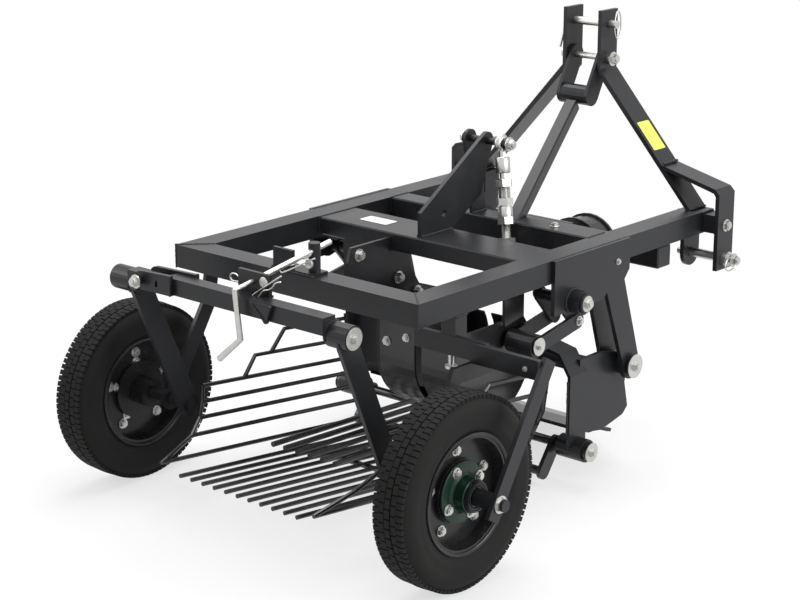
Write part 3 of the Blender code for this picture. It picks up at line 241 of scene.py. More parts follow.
def gloss_material(name, colour):
    """Dipped gloss black: smooth, with runs along the bars."""
    paint = Paint(name)
    cloud = paint.noise(14, 3, 0.5)
    run = paint.noise(60, 2, 0.5, (1, 0.2, 1))
    paint.set(Base_Color=paint.mix(shade(colour, 0.8), shade(colour, 1.5), cloud),
              Roughness=cloud * 0.12 + 0.16, Normal=paint.bump(run, 0.0004, 0.5))
    return paint.material


def zinc_material(name, colour):
    """Bright zinc: spangled tone, with brushed wear."""
    paint = Paint(name)
    spangle = paint.node("ShaderNodeTexVoronoi", {}, {"Vector": paint.place(), "Scale": 260.0}, "Color")
    tone = paint.noise(90, 4, 0.6)
    paint.set(Base_Color=paint.mix(shade(colour, 0.72), shade(colour, 1.1), tone),
              Roughness=tone * 0.22 + 0.22, Metallic=1.0,
              Normal=paint.bump(spangle, 0.00004, 0.5))
    return paint.material


def rubber_material(name, colour):
    """Matt rubber with a grey bloom and fine grain."""
    paint = Paint(name)
    bloom = paint.noise(9, 5, 0.6)
    grain = paint.noise(420, 3, 0.6)
    paint.set(Base_Color=paint.mix(shade(colour, 0.20), shade(colour, 0.62), bloom),
              Roughness=bloom * 0.18 + 0.66, Normal=paint.bump(grain, 0.0003, 0.6))
    paint.shader.inputs["Specular IOR Level"].default_value = RUBBER_SPECULAR
    return paint.material


def steel_material(name):
    """Machined steel, oiled."""
    paint = Paint(name)
    turn = paint.noise(300, 2, 0.5, (1, 6, 1))
    paint.set(Base_Color=paint.mix(STEEL_DARK, STEEL_BRIGHT, turn),
              Roughness=turn * 0.2 + 0.25, Metallic=1.0, Normal=paint.bump(turn, 0.0001, 0.6))
    return paint.material


def finish_of(key):
    """The finished material of this name, made once."""
    made = bpy.data.materials.get("digger_" + key)
    if made:
        return made
    settings = bpy.context.scene.digger_finish
    name = "digger_" + key
    makers = {
        "coat": lambda: coat_material(name, settings.coat_colour, settings.peel_size, 0.32),
        "gloss": lambda: gloss_material(name, settings.gloss_colour),
        "rim": lambda: coat_material(name, settings.gloss_colour, settings.peel_size, 0.26),
        "hub": lambda: coat_material(name, settings.hub_colour, settings.peel_size, 0.30),
        "zinc": lambda: zinc_material(name, settings.zinc_colour),
        "rubber": lambda: rubber_material(name, settings.rubber_colour),
        "steel": lambda: steel_material(name),
        "weld": lambda: coat_material(name, shade(settings.coat_colour, 1.1), settings.peel_size * 3, 0.36),
        "yellow": lambda: coat_material(name, STICKER_YELLOW, STICKER_PEEL, 0.5),
        "white": lambda: coat_material(name, STICKER_WHITE, STICKER_PEEL, 0.5),
    }
    return makers[key]()


# ---------------- meshes
def new_piece(name, mesh, body, finish):
    piece = bpy.data.objects.new(name, mesh)
    bpy.context.scene.collection.objects.link(piece)
    if finish:
        mesh.materials.clear()
        mesh.materials.append(finish_of(finish))
    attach(piece, body)
    return piece


def shape_mesh(name, build):
    mesh = bpy.data.meshes.new(name)
    shape = bmesh.new()
    build(shape)
    shape.to_mesh(mesh)
    shape.free()
    return mesh


def revolve(shape, profile, steps, matrix):
    """Turns a closed profile of (radius, along) about local Z."""
    rings = []
    for step in range(steps):
        turn = 2 * pi * step / steps
        rings.append([shape.verts.new(matrix @ Vector((radius * cos(turn), radius * sin(turn), along)))
                      for radius, along in profile])
    count = len(profile)
    for step in range(steps):
        here, there = rings[step], rings[(step + 1) % steps]
        for index in range(count):
            after = (index + 1) % count
            shape.faces.new((here[index], there[index], there[after], here[after]))
    bmesh.ops.recalc_face_normals(shape, faces=shape.faces)


def turned_piece(name, profile, steps, matrix, body, finish, angle=35):
    """A piece made by turning one closed profile."""
    mesh = shape_mesh(name, lambda shape: revolve(shape, profile, steps, matrix))
    smooth(mesh, angle)
    return new_piece(name, mesh, body, finish)


def smooth(mesh, angle=35):
    for face in mesh.polygons:
        face.use_smooth = True
    mesh.set_sharp_from_angle(angle=radians(angle))


# ---------------- node trees
class Tree:
    """A Geometry Nodes tree under construction."""

    def __init__(self, name, inputs):
        self.tree = bpy.data.node_groups.new(name, "GeometryNodeTree")
        self.tree.is_modifier = True
        face = self.tree.interface
        face.new_socket("Geometry", in_out="INPUT", socket_type="NodeSocketGeometry")
        self.keys = {}
        for label, kind, default in inputs:
            socket = face.new_socket(label, in_out="INPUT", socket_type=kind)
            if default is not None:
                socket.default_value = default
            self.keys[label] = socket.identifier
        face.new_socket("Geometry", in_out="OUTPUT", socket_type="NodeSocketGeometry")
        self.inputs = self.tree.nodes.new("NodeGroupInput")
        self.output = self.tree.nodes.new("NodeGroupOutput")

    def node(self, kind, settings=None, values=None):
        made = self.tree.nodes.new(kind)
        for key, value in (settings or {}).items():
            setattr(made, key, value)
        for key, value in (values or {}).items():
            if isinstance(value, bpy.types.NodeSocket):
                self.tree.links.new(value, made.inputs[key])
            else:
                made.inputs[key].default_value = value
        return made

    def math(self, operation, first, second=0.0):
        return self.node("ShaderNodeMath", {"operation": operation}, {0: first, 1: second}).outputs[0]

    def xyz(self, x=0.0, y=0.0, z=0.0):
        return self.node("ShaderNodeCombineXYZ", None, {"X": x, "Y": y, "Z": z}).outputs[0]

    def end(self, geometry):
        real = self.node("GeometryNodeRealizeInstances", None, {"Geometry": geometry}).outputs[0]
        dressed = self.node("GeometryNodeSetMaterial", None,
                            {"Geometry": real, "Material": self.inputs.outputs["Material"]}).outputs[0]
        self.tree.links.new(dressed, self.output.inputs[0])


def grown(tree, base, values, name):
    """The plain mesh that a tree makes from a base mesh with these input values."""
    host = bpy.data.objects.new(name + "_host", base)
    bpy.context.scene.collection.objects.link(host)
    growth = host.modifiers.new("grow", "NODES")
    growth.node_group = tree.tree
    for label, value in values.items():
        growth[tree.keys[label]] = value
    bpy.context.view_layer.update()
    graph = bpy.context.evaluated_depsgraph_get()
    mesh = bpy.data.meshes.new_from_object(host.evaluated_get(graph))
    host.modifiers.remove(growth)
    bpy.data.objects.remove(host)
    mesh.name = name
    return mesh


def points_mesh(name, places):
    """Loose points, each with a direction and a size, for a tree to put things on."""
    mesh = bpy.data.meshes.new(name)
    mesh.from_pydata([place[0] for place in places], [], [])
    mesh.attributes.new("direction", "FLOAT_VECTOR", "POINT")
    mesh.attributes.new("size", "FLOAT", "POINT")
    direction, size = mesh.attributes["direction"], mesh.attributes["size"]
    for index, (_, way, wide) in enumerate(places):
        direction.data[index].vector = way
        size.data[index].value = wide
    return mesh


def fastener_tree():
    """A hexagon head on a washer, at each point, of that point's size."""
    tree = Tree("hexagon_fasteners", (
        ("Material", "NodeSocketMaterial", None), ("Height", "NodeSocketFloat", 0.62),
        ("Washer", "NodeSocketFloat", 1.25)))
    height = tree.inputs.outputs["Height"]
    head = tree.node("GeometryNodeMeshCylinder", None, {
        "Vertices": 6, "Radius": 1.0, "Depth": height}).outputs[0]
    lifted = tree.node("GeometryNodeTransform", None, {
        "Geometry": head, "Translation": tree.xyz(z=tree.math("ADD", tree.math("MULTIPLY", height, 0.5), 0.16))})
    dome = tree.node("GeometryNodeMeshCylinder", None, {
        "Vertices": 16, "Radius": 0.62, "Depth": 0.30}).outputs[0]
    raised = tree.node("GeometryNodeTransform", None, {
        "Geometry": dome, "Translation": tree.xyz(z=tree.math("ADD", height, 0.26))})
    washer = tree.node("GeometryNodeMeshCylinder", None, {
        "Vertices": 24, "Radius": tree.inputs.outputs["Washer"], "Depth": 0.16}).outputs[0]
    seated = tree.node("GeometryNodeTransform", None, {"Geometry": washer, "Translation": (0, 0, 0.08)})
    whole = tree.node("GeometryNodeJoinGeometry")
    for part in (lifted, raised, seated):
        tree.tree.links.new(part.outputs[0], whole.inputs[0])
    way = tree.node("GeometryNodeInputNamedAttribute", {"data_type": "FLOAT_VECTOR"}, {"Name": "direction"})
    turn = tree.node("FunctionNodeAlignRotationToVector", {"axis": "Z"}, {"Vector": way.outputs[0]})
    size = tree.node("GeometryNodeInputNamedAttribute", {"data_type": "FLOAT"}, {"Name": "size"})
    placed = tree.node("GeometryNodeInstanceOnPoints", None, {
        "Points": tree.inputs.outputs["Geometry"], "Instance": whole.outputs[0], "Rotation": turn.outputs[0]})
    tree.tree.links.new(size.outputs[0], placed.inputs["Scale"])
    tree.end(placed.outputs[0])
    return tree


def tread_tree():
    """Blocks in rows round a tyre whose axle is X, every other row half a step on."""
    tree = Tree("tread_blocks", (
        ("Material", "NodeSocketMaterial", None), ("Stations", "NodeSocketInt", 46),
        ("Radius", "NodeSocketFloat", 0.198), ("Pitch", "NodeSocketFloat", 0.016),
        ("Length", "NodeSocketFloat", 0.02), ("Width", "NodeSocketFloat", 0.011),
        ("Depth", "NodeSocketFloat", 0.006), ("Rows", "NodeSocketInt", 5), ("Drop", "NodeSocketFloat", 0.0)))
    given = tree.inputs.outputs
    count = tree.math("MULTIPLY", given["Stations"], given["Rows"])
    line = tree.node("GeometryNodeMeshLine", None, {"Offset": (0, 0, 0)})
    tree.tree.links.new(count, line.inputs["Count"])
    index = tree.node("GeometryNodeInputIndex").outputs[0]
    row = tree.math("FLOOR", tree.math("DIVIDE", tree.math("ADD", index, 0.5), given["Stations"]))
    step = tree.math("SUBTRACT", index, tree.math("MULTIPLY", row, given["Stations"]))
    odd = tree.math("MULTIPLY", tree.math("MODULO", row, 2.0), 0.5)
    turn = tree.math("MULTIPLY", tree.math("DIVIDE", tree.math("ADD", step, odd), given["Stations"]), 2 * pi)
    middle = tree.math("MULTIPLY", tree.math("SUBTRACT", given["Rows"], 1.0), 0.5)
    across = tree.math("SUBTRACT", row, middle)
    drop = tree.math("MULTIPLY", tree.math("POWER", tree.math("ABSOLUTE", across), 2.0), given["Drop"])
    radius = tree.math("SUBTRACT", given["Radius"], drop)
    place = tree.xyz(tree.math("MULTIPLY", across, given["Pitch"]),
                     tree.math("MULTIPLY", tree.math("COSINE", turn), radius),
                     tree.math("MULTIPLY", tree.math("SINE", turn), radius))
    points = tree.node("GeometryNodeSetPosition", None, {"Geometry": line.outputs[0], "Position": place})
    block = tree.node("GeometryNodeMeshCube", None, {
        "Size": tree.xyz(given["Width"], given["Depth"], given["Length"])})
    rotation = tree.xyz(turn, 0.0, 0.0)
    placed = tree.node("GeometryNodeInstanceOnPoints", None, {
        "Points": points.outputs[0], "Instance": block.outputs[0], "Rotation": rotation})
    tree.end(placed.outputs[0])
    return tree


# ---------------- operators
class DIGGER_OT_finishes(bpy.types.Operator):
    """Give every solid of the frame its finish"""

    bl_idname = "digger.finishes"
    bl_label = "Finishes"

    def execute(self, context):
        for name, node in frame["nodes"].items():
            if name in BLACK_NODES:
                key = "gloss"
            elif name in ZINC_NODES:
                key = "zinc"
            elif name in STEEL_NODES:
                key = "steel"
            elif name.startswith("rim"):
                key = "rim"
            elif name.startswith("tyre"):
                key = "rubber"
            else:
                key = "coat"
            for slot in node.material_slots:
                slot.material = finish_of(key)
        return {"FINISHED"}


class DIGGER_OT_tyres(bpy.types.Operator):
    """Tyre carcasses with side wall lines, and tread blocks on the crown and the shoulders"""

    bl_idname = "digger.tyres"
    bl_label = "Tyres"

    def execute(self, context):
        settings = context.scene.digger_tyre
        tree = tread_tree()
        for word, _ in SIDES:
            low, high = (Vector(corner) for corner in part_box("tyre_" + word))
            centre = (low + high) / 2
            half, radius = (high.x - low.x) / 2, (high.z - low.z) / 2
            under = radius - settings.groove_depth
            profile = [(0.1166, -0.028), (0.1240, -0.034), (0.1400, -half * 0.90), (0.1450, -half * 0.935),
                       (0.1470, -half * 0.925), (0.1600, -half * 0.985), (0.1680, -half), (0.1780, -half * 0.95),
                       (0.1860, -half * 0.84), (under - 0.004, -half * 0.74), (under, -half * 0.60),
                       (under, half * 0.60), (under - 0.004, half * 0.74), (0.1860, half * 0.84),
                       (0.1780, half * 0.95), (0.1680, half), (0.1600, half * 0.985), (0.1470, half * 0.925),
                       (0.1450, half * 0.935), (0.1400, half * 0.90), (0.1240, 0.034), (0.1166, 0.028)]
            turned = Matrix.Translation(centre) @ Matrix.Rotation(pi / 2, 4, "Y")
            body = "wheel_" + word
            carcass = turned_piece("tyre_carcass_" + word, profile, 96, turned, body, "rubber", 50)
            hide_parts("tyre_" + word)
            for name, rows, stations, values in (
                    ("crown", 3, settings.stations, {
                        "Radius": radius - 0.0040, "Pitch": 0.0150, "Width": 0.0128, "Depth": 0.0064,
                        "Drop": 0.0009}),
                    ("shoulder", 2, settings.shoulder_bars, {
                        "Radius": radius - 0.0056, "Pitch": 0.0570, "Width": 0.0150, "Depth": 0.0070,
                        "Drop": 0.0})):
                step = 2 * pi * radius / stations
                blocks = grown(tree, bpy.data.meshes.new("seed"), {
                    "Material": finish_of("rubber"), "Stations": stations, "Rows": rows,
                    "Length": step - settings.sipe_width, **values}, "tread")
                blocks.transform(Matrix.Translation(centre))
                new_piece(f"tyre_{name}_{word}", blocks, body, None)
        return {"FINISHED"}


class DIGGER_OT_hubs(bpy.types.Operator):
    """Green hub flanges and barrels, with a seal ring, and a sleeve on the right axle"""

    bl_idname = "digger.hubs"
    bl_label = "Hubs"

    def execute(self, context):
        for word, side in SIDES:
            centre, body = middle("rim_" + word), "wheel_" + word
            turned = Matrix.Translation(centre) @ Matrix.Rotation(side * pi / 2, 4, "Y")
            flange = [(0.0328, 0.0145), (0.0610, 0.0145), (0.0635, 0.0160), (0.0630, 0.0195), (0.0600, 0.0210),
                      (0.0420, 0.0215), (0.0370, 0.0260), (0.0352, 0.0330), (0.0348, 0.0480), (0.0328, 0.0490)]
            turned_piece("hub_flange_" + word, flange, 64, turned, body, "hub", 28)
            seal = [(0.0215, 0.0552), (0.0300, 0.0552), (0.0300, 0.0575), (0.0275, 0.0582), (0.0262, 0.0562),
                    (0.0232, 0.0562), (0.0222, 0.0580), (0.0215, 0.0575)]
            turned_piece("hub_seal_" + word, seal, 48, turned, body, "coat", 28)
            lip = [(0.1172, 0.0352), (0.1236, 0.0352), (0.1246, 0.0366), (0.1236, 0.0382), (0.1215, 0.0384),
                   (0.1190, 0.0374), (0.1172, 0.0362)]
            for end in (-1, 1):
                rolled = Matrix.Translation(centre) @ Matrix.Rotation(end * pi / 2, 4, "Y")
                name = f"rim_lip_{word}_{'outer' if end == side else 'inner'}"
                turned_piece(name, lip, 96, rolled, body, "rim", 40)
        sleeve = [(0.0130, 0.0), (0.0178, 0.0), (0.0178, 0.0430), (0.0130, 0.0430)]
        start = beside(PIVOTS["wheel_right_spin"], 0.5190)
        turned = Matrix.Translation(start) @ Matrix.Rotation(pi / 2, 4, "Y")
        turned_piece("axle_sleeve_right", sleeve, 40, turned, "frame", "coat")
        return {"FINISHED"}


# (washer radius, head height), both in head radii
BOLT, CAP, NUT = (1.25, 0.62), (2.30, 0.62), (1.45, 0.95)
STUB_CAP, SIEVE_CAP, AXLE_NUT = (1.6, 0.7), (2.1, 0.7), (1.15, 0.35)
RIGHT_WAY, LEFT_WAY, REAR_WAY, UP_WAY = (1, 0, 0), (-1, 0, 0), (0, -1, 0), (0, 0, 1)
# (y, z) of what has no joint of its own
TUBE_BOSS = (-0.153, 0.506)
LINK_FRONT, LINK_REAR = (0.545, 0.385), (0.405, 0.360)
BUCKLE_TOP, BUCKLE_FOOT = (0.628, 0.722), (0.592, 0.468)
DRUM_REAR, BAR_REAR, HANGER_RIGHT, PLATE_TOP = 0.2388, 0.1015, -0.0718, 0.5452


def fixed_fasteners():
    """(place, direction, head radius, kind) of each fastener, by body, apart from the wheels'."""
    mast_bolt = middle("mast_bolt")
    frame_list = [
        # cross tube and its bosses
        (at(0.3165, *TUBE_BOSS), RIGHT_WAY, 0.0098, CAP),
        (at(-0.3545, *TUBE_BOSS), LEFT_WAY, 0.0098, CAP),
        (at(-0.240, -0.2065, 0.526), REAR_WAY, 0.0100, NUT),
        # mast
        (beside(mast_bolt, 0.0668), RIGHT_WAY, 0.0115, NUT),
        (beside(mast_bolt, -0.0668), LEFT_WAY, 0.0115, BOLT),
        # turnbuckle
        (at(0.068, *BUCKLE_TOP), RIGHT_WAY, 0.0110, NUT),
        (at(-0.058, *BUCKLE_TOP), LEFT_WAY, 0.0110, BOLT),
        (at(0.0795, *BUCKLE_FOOT), LEFT_WAY, 0.0100, BOLT),
        (at(0.1245, *BUCKLE_FOOT), RIGHT_WAY, 0.0095, NUT),
        # gearbox hanger, drum and support bar
        (at(HANGER_RIGHT, 0.285, 0.512), RIGHT_WAY, 0.0100, NUT),
        (at(HANGER_RIGHT, 0.415, 0.435), RIGHT_WAY, 0.0100, NUT),
        (at(HANGER_RIGHT, 0.478, 0.389), RIGHT_WAY, 0.0100, NUT),
        (at(0.051, DRUM_REAR, 0.354), REAR_WAY, 0.0085, BOLT),
        (at(0.106, DRUM_REAR, 0.372), REAR_WAY, 0.0075, BOLT),
        (at(0.530, BAR_REAR, 0.430), REAR_WAY, 0.0045, BOLT),
        # right axle and front beam
        (beside(PIVOTS["wheel_right_spin"], 0.5734), RIGHT_WAY, 0.0155, AXLE_NUT),
        (at(0.172, 0.664, PLATE_TOP), UP_WAY, 0.0085, BOLT),
        (at(-0.172, 0.664, PLATE_TOP), UP_WAY, 0.0085, BOLT),
    ]
    moving, sieve = {}, []
    for word, side in SIDES:
        way = (side, 0, 0)
        lug_pin = middle("lug_pin_" + word)
        frame_list += [
            (beside(PIVOTS["share_box_swing"], side * 0.3656), way, 0.0120, CAP),
            (beside(lug_pin, side * 0.4195), way, 0.0110, NUT),
            (beside(lug_pin, side * 0.3952) + Vector((0, 0, 0.078)), way, 0.0115, BOLT),
            (at(side * 0.3556, 0.650, 0.500), way, 0.0060, BOLT),
        ]
        moving["rocker_" + word] = [
            (beside(PIVOTS[f"rocker_{word}_swing"], side * 0.3920), way, 0.0110, STUB_CAP),
            (at(side * 0.3322, *LINK_FRONT), way, 0.0090, BOLT),
            (at(side * 0.3322, *LINK_REAR), way, 0.0085, CAP),
        ]
        sieve.append((beside(PIVOTS["sieve_swing"], side * 0.3722), way, 0.0105, SIEVE_CAP))
    return {"frame": frame_list, **moving, "sieve": sieve}


def wheel_fasteners(word, side):
    """Rings of bolts: the rim's and the flange's on the outer face, and two rings on the inner face."""
    centre = PIVOTS[f"wheel_{word}_spin"]
    places = []
    for face, count, ring, depth in (
            (side, 5, 0.0840, 0.0042), (side, 4, 0.0510, 0.0214),
            (-side, 5, 0.0620, 0.0042), (-side, 5, 0.0850, 0.0042)):
        for index in range(count):
            turn = 2 * pi * (index + 0.28) / count
            spot = centre + Vector((face * depth, ring * cos(turn), ring * sin(turn)))
            places.append((spot, (face, 0, 0), 0.0092, BOLT))
    return places


def fastener_mesh(tree, name, places):
    """One mesh of all these fasteners, each kind grown with its own washer and height."""
    whole = bmesh.new()
    for kind in sorted({place[3] for place in places}):
        chosen = [place[:3] for place in places if place[3] == kind]
        grown_mesh = grown(tree, points_mesh("spots", chosen), {
            "Material": finish_of("zinc"), "Washer": kind[0], "Height": kind[1]}, name)
        whole.from_mesh(grown_mesh)
    mesh = bpy.data.meshes.new(name)
    whole.to_mesh(mesh)
    whole.free()
    mesh.materials.append(finish_of("zinc"))
    return mesh


class DIGGER_OT_fasteners(bpy.types.Operator):
    """Bolts and nuts with washers"""

    bl_idname = "digger.fasteners"
    bl_label = "Fasteners"

    def execute(self, context):
        tree = fastener_tree()
        groups = fixed_fasteners()
        for word, side in SIDES:
            groups["wheel_" + word] = wheel_fasteners(word, side)
        for body, places in groups.items():
            name = "fasteners_" + body
            new_piece(name, fastener_mesh(tree, name, places), body, None)
        return {"FINISHED"}


def wire_mesh(name, points, radius, closed=False):
    """A bent wire along these points, its corners rounded by a spline."""
    data = bpy.data.curves.new(name, "CURVE")
    data.dimensions = "3D"
    data.bevel_depth = radius
    data.bevel_resolution = 3
    data.use_fill_caps = not closed
    data.resolution_u = 6
    spline = data.splines.new("NURBS")
    spline.points.add(len(points) - 1)
    for point, place in zip(spline.points, points):
        point.co = (*place, 1)
    spline.order_u = 3
    spline.use_endpoint_u = not closed
    spline.use_cyclic_u = closed
    host = bpy.data.objects.new(name, data)
    bpy.context.scene.collection.objects.link(host)
    bpy.context.view_layer.update()
    mesh = bpy.data.meshes.new_from_object(host.evaluated_get(bpy.context.evaluated_depsgraph_get()))
    bpy.data.objects.remove(host)
    smooth(mesh, 50)
    return mesh


def hairpin(length, gap):
    """(along, across) of an R-shaped clip: its straight leg, the loop, and the waved leg."""
    loop = [(-gap * 0.2, gap * 0.1), (-gap * 1.3, gap * 0.2), (-gap * 1.7, gap), (-gap * 1.2, gap * 1.9),
            (gap * 0.2, gap * 2.0)]
    waves = [(length * 0.18, gap * 1.3), (length * 0.34, gap * 0.7), (length * 0.48, gap * 1.5),
             (length * 0.62, gap * 1.6), (length * 0.76, gap * 0.7), (length * 0.92, gap * 1.4)]
    return [(length, 0), (length * 0.6, 0), (length * 0.3, 0), *loop, *waves]


def clip_points(start, along, across, length, gap):
    """A hairpin's points from a start, with its leg along one way and its waves across it."""
    along, across = Vector(along).normalized(), Vector(across).normalized()
    return [start + along * u + across * v for u, v in hairpin(length, gap)]


def ring_points(centre, across, up, half_wide, half_high):
    """Twelve points round an oval ring."""
    across, up = Vector(across) * half_wide, Vector(up) * half_high
    return [centre + across * cos(pi * step / 6) + up * sin(pi * step / 6) for step in range(12)]


class DIGGER_OT_clips(bpy.types.Operator):
    """Spring clips, linch rings, the top pin's handle and the pins at the spindle"""

    bl_idname = "digger.clips"
    bl_label = "Clips"

    def execute(self, context):
        radius = context.scene.digger_hardware.wire_radius
        clips = {
            "clip_tube": (at(0.056, -0.160, 0.546), (0.83, 0, 0.55), (0.45, 0, -0.85), 0.092, 0.0065),
            "clip_beam": (at(-0.006, -0.010, 0.548), (0.888, 0, 0.46), (-0.42, 0, 0.9), 0.096, 0.0075),
            "clip_left": (at(-0.018, -0.138, 0.553), (1, 0, 0.12), (-0.1, 0, 1), 0.060, 0.0085),
        }
        for name, bend in clips.items():
            new_piece(name, wire_mesh(name, clip_points(*bend), radius), "frame", "zinc")
        handle = [at(-0.0640, 1.015, 0.952), at(-0.0660, 1.012, 0.940), at(-0.0700, 1.004, 0.915),
                  at(-0.0720, 0.994, 0.880)]
        new_piece("top_pin_handle", wire_mesh("top_pin_handle", handle, radius * 2.1), "frame", "zinc")
        rings = {
            "linch_top": ring_points(at(0.0735, 1.022, 0.943), (0, 1, 0), (0, 0, 1), 0.013, 0.033),
            "linch_left": ring_points(at(-0.4150, 1.012, 0.431), (0, 1, 0.1), (0, -0.1, 1), 0.024, 0.016),
            "linch_right": ring_points(at(0.4150, 1.012, 0.431), (0, 1, 0.1), (0, -0.1, 1), 0.024, 0.016),
        }
        for name, points in rings.items():
            new_piece(name, wire_mesh(name, points, radius, closed=True), "frame", "zinc")
        knob = [(0.0001, 0.0), (0.0095, 0.0), (0.0105, 0.0015), (0.0105, 0.0045), (0.0090, 0.0062),
                (0.0001, 0.0068)]
        stem = [(0.0001, 0.0), (0.0062, 0.0), (0.0062, 0.0300), (0.0001, 0.0300)]
        wing = [(0.0001, 0.0), (0.0125, 0.0), (0.0125, 0.0060), (0.0001, 0.0060)]
        back = Matrix.Rotation(pi / 2, 4, "X")
        down = Matrix.Rotation(pi, 4, "X")
        for name, place, way, profile in (
                ("swivel_pin", at(0.044, 0.0135, 0.570), back, knob),
                ("plate_pin", at(0.078, -0.1504, 0.573), back, knob),
                ("clamp_screw", at(0.329, 0.120, 0.4118), down, stem),
                ("clamp_screw_head", at(0.329, 0.120, 0.3900), down, wing)):
            turned_piece(name, profile, 28, Matrix.Translation(place) @ way, "frame", "zinc")
        return {"FINISHED"}


def weld_tree():
    """Overlapping ripples along the edges it is given."""
    tree = Tree("weld_beads", (("Material", "NodeSocketMaterial", None), ("Pitch", "NodeSocketFloat", 0.0024),
                               ("Size", "NodeSocketFloat", 0.003)))
    given = tree.inputs.outputs
    curve = tree.node("GeometryNodeMeshToCurve", None, {"Mesh": given["Geometry"]})
    spaced = tree.node("GeometryNodeResampleCurve", {"mode": "LENGTH"}, {
        "Curve": curve.outputs[0], "Length": given["Pitch"]})
    points = tree.node("GeometryNodeCurveToPoints", {"mode": "EVALUATED"}, {"Curve": spaced.outputs[0]})
    ripple = tree.node("GeometryNodeMeshIcoSphere", None, {"Radius": 1.0, "Subdivisions": 1})
    wobble = tree.node("FunctionNodeRandomValue", {"data_type": "FLOAT"}, {2: 0.85, 3: 1.15, "Seed": 7})
    size = tree.math("MULTIPLY", given["Size"], wobble.outputs[1])
    scale = tree.xyz(size, size, tree.math("MULTIPLY", given["Pitch"], 0.95))
    placed = tree.node("GeometryNodeInstanceOnPoints", None, {
        "Points": points.outputs[0], "Instance": ripple.outputs[0], "Rotation": points.outputs["Rotation"],
        "Scale": scale})
    tree.end(placed.outputs[0])
    return tree


def lines_mesh(lines):
    """Loose edges: each line is a run of places."""
    mesh = bpy.data.meshes.new("weld_lines")
    places, edges = [], []
    for line in lines:
        start = len(places)
        places += line
        edges += [(start + index, start + index + 1) for index in range(len(line) - 1)]
    mesh.from_pydata(places, edges, [])
    return mesh


def circle_line(centre, radius, start=0, end=360, steps=20):
    """An arc about an axis along X, between two angles in degrees."""
    turns = [radians(start + (end - start) * step / steps) for step in range(steps + 1)]
    return [centre + Vector((0, radius * cos(turn), radius * sin(turn))) for turn in turns]


class DIGGER_OT_welds(bpy.types.Operator):
    """Weld beads where bars and plates meet"""

    bl_idname = "digger.welds"
    bl_label = "Welds"

    def execute(self, context):
        pitch = context.scene.digger_hardware.bead_pitch
        tree = weld_tree()
        fine, heavy = [], []
        top = BEAM_TOP
        rocker_axis, sieve_axis = PIVOTS["rocker_right_swing"], PIVOTS["sieve_swing"]
        for _, side in SIDES:
            fine += [
                [at(side * 0.287, 0.058, top), at(side * 0.345, 0.0005, top)],
                [at(side * 0.3448, 0.0002, top), at(side * 0.3448, 0.0002, top - 0.050)],
                [at(side * 0.3452, 0.427, top - 0.0005), at(side * 0.3452, 0.693, top - 0.0005)],
                [at(side * 0.2865, 0.0585, top - 0.002), at(side * 0.2865, 0.0585, top - 0.050)],
                [at(side * 0.2865, 0.984, top - 0.001), at(side * 0.2865, 0.984, top - 0.050)],
            ]
            for rear, front, height in ((0.387, 0.507, 0.543), (0.632, 0.692, 0.545)):
                fine.append([at(side * 0.2865, rear, height - 0.036), at(side * 0.2865, rear, height),
                             at(side * 0.2865, front, height)])
            heavy += [
                [at(side * 0.3205, 0.988, top + 0.0025), at(side * 0.3205, 1.041, top + 0.0025)],
                [at(side * 0.3040, 0.988, top + 0.0025), at(side * 0.3040, 1.041, top + 0.0025)],
                [at(side * 0.2390, 0.988, 0.6430), at(side * 0.2390, 1.041, 0.6430)],
                [at(side * 0.3460, 0.995, top - 0.003), at(side * 0.3460, 1.035, top - 0.003)],
                circle_line(beside(rocker_axis, side * 0.3560), 0.0265),
                circle_line(at(side * 0.2990, *TUBE_BOSS), 0.0262, 200, 300, 10),
            ]
        heavy += [
            [at(0.0080, 0.402, 0.5440), at(0.0080, 0.503, 0.5440)],
            [at(-0.0040, 0.402, 0.5440), at(-0.0040, 0.503, 0.5440)],
            [at(-0.0410, 0.637, top + 0.001), at(-0.0410, 0.685, top + 0.001)],
            [at(0.034, 0.660, top + 0.001), at(0.034, 0.690, top + 0.001), at(0.070, 0.690, top + 0.001)],
            [at(-0.1525, -0.1932, 0.509), at(-0.1525, -0.1932, 0.549)],
            [at(-0.1225, -0.1420, 0.509), at(-0.1225, -0.1420, 0.549)],
            [at(0.0800, -0.1915, 0.5405), at(0.1195, -0.1915, 0.5060), at(0.1325, -0.1915, 0.5405)],
            [at(0.003, -0.1415, 0.5435), at(0.090, -0.1415, 0.5435)],
            circle_line(at(0.2640, *TUBE_BOSS), 0.0262, -60, 200, 16),
            [at(0.307, 0.1140, 0.4935), at(0.344, 0.1140, 0.4935)],
            [at(0.3445, 0.115, 0.4935), at(0.3445, 0.149, 0.4935)],
            [at(0.5628, 0.1020, 0.4500), at(0.5628, 0.1020, 0.4130)],
            [at(-0.057, 0.0035, top + 0.001), at(0.061, 0.0035, top + 0.001)],
            [at(-0.0715, 0.388, 0.5030), at(-0.0715, 0.446, 0.5030)],
        ]
        box_lines = []
        for _, side in SIDES:
            box_lines += [circle_line(beside(sieve_axis, side * 0.3265), 0.0262, 0, 180, 12),
                          [at(side * 0.3268, 0.517, 0.130), at(side * 0.3268, 0.517, 0.250)]]
        for name, body, lines, size in (("welds_fine", "frame", fine, 0.0021),
                                        ("welds_heavy", "frame", heavy, 0.0034),
                                        ("welds_box", "share_box", box_lines, 0.0028)):
            mesh = grown(tree, lines_mesh(lines), {
                "Material": finish_of("weld"), "Pitch": pitch, "Size": size}, name)
            smooth(mesh, 80)
            new_piece(name, mesh, body, None)
        return {"FINISHED"}


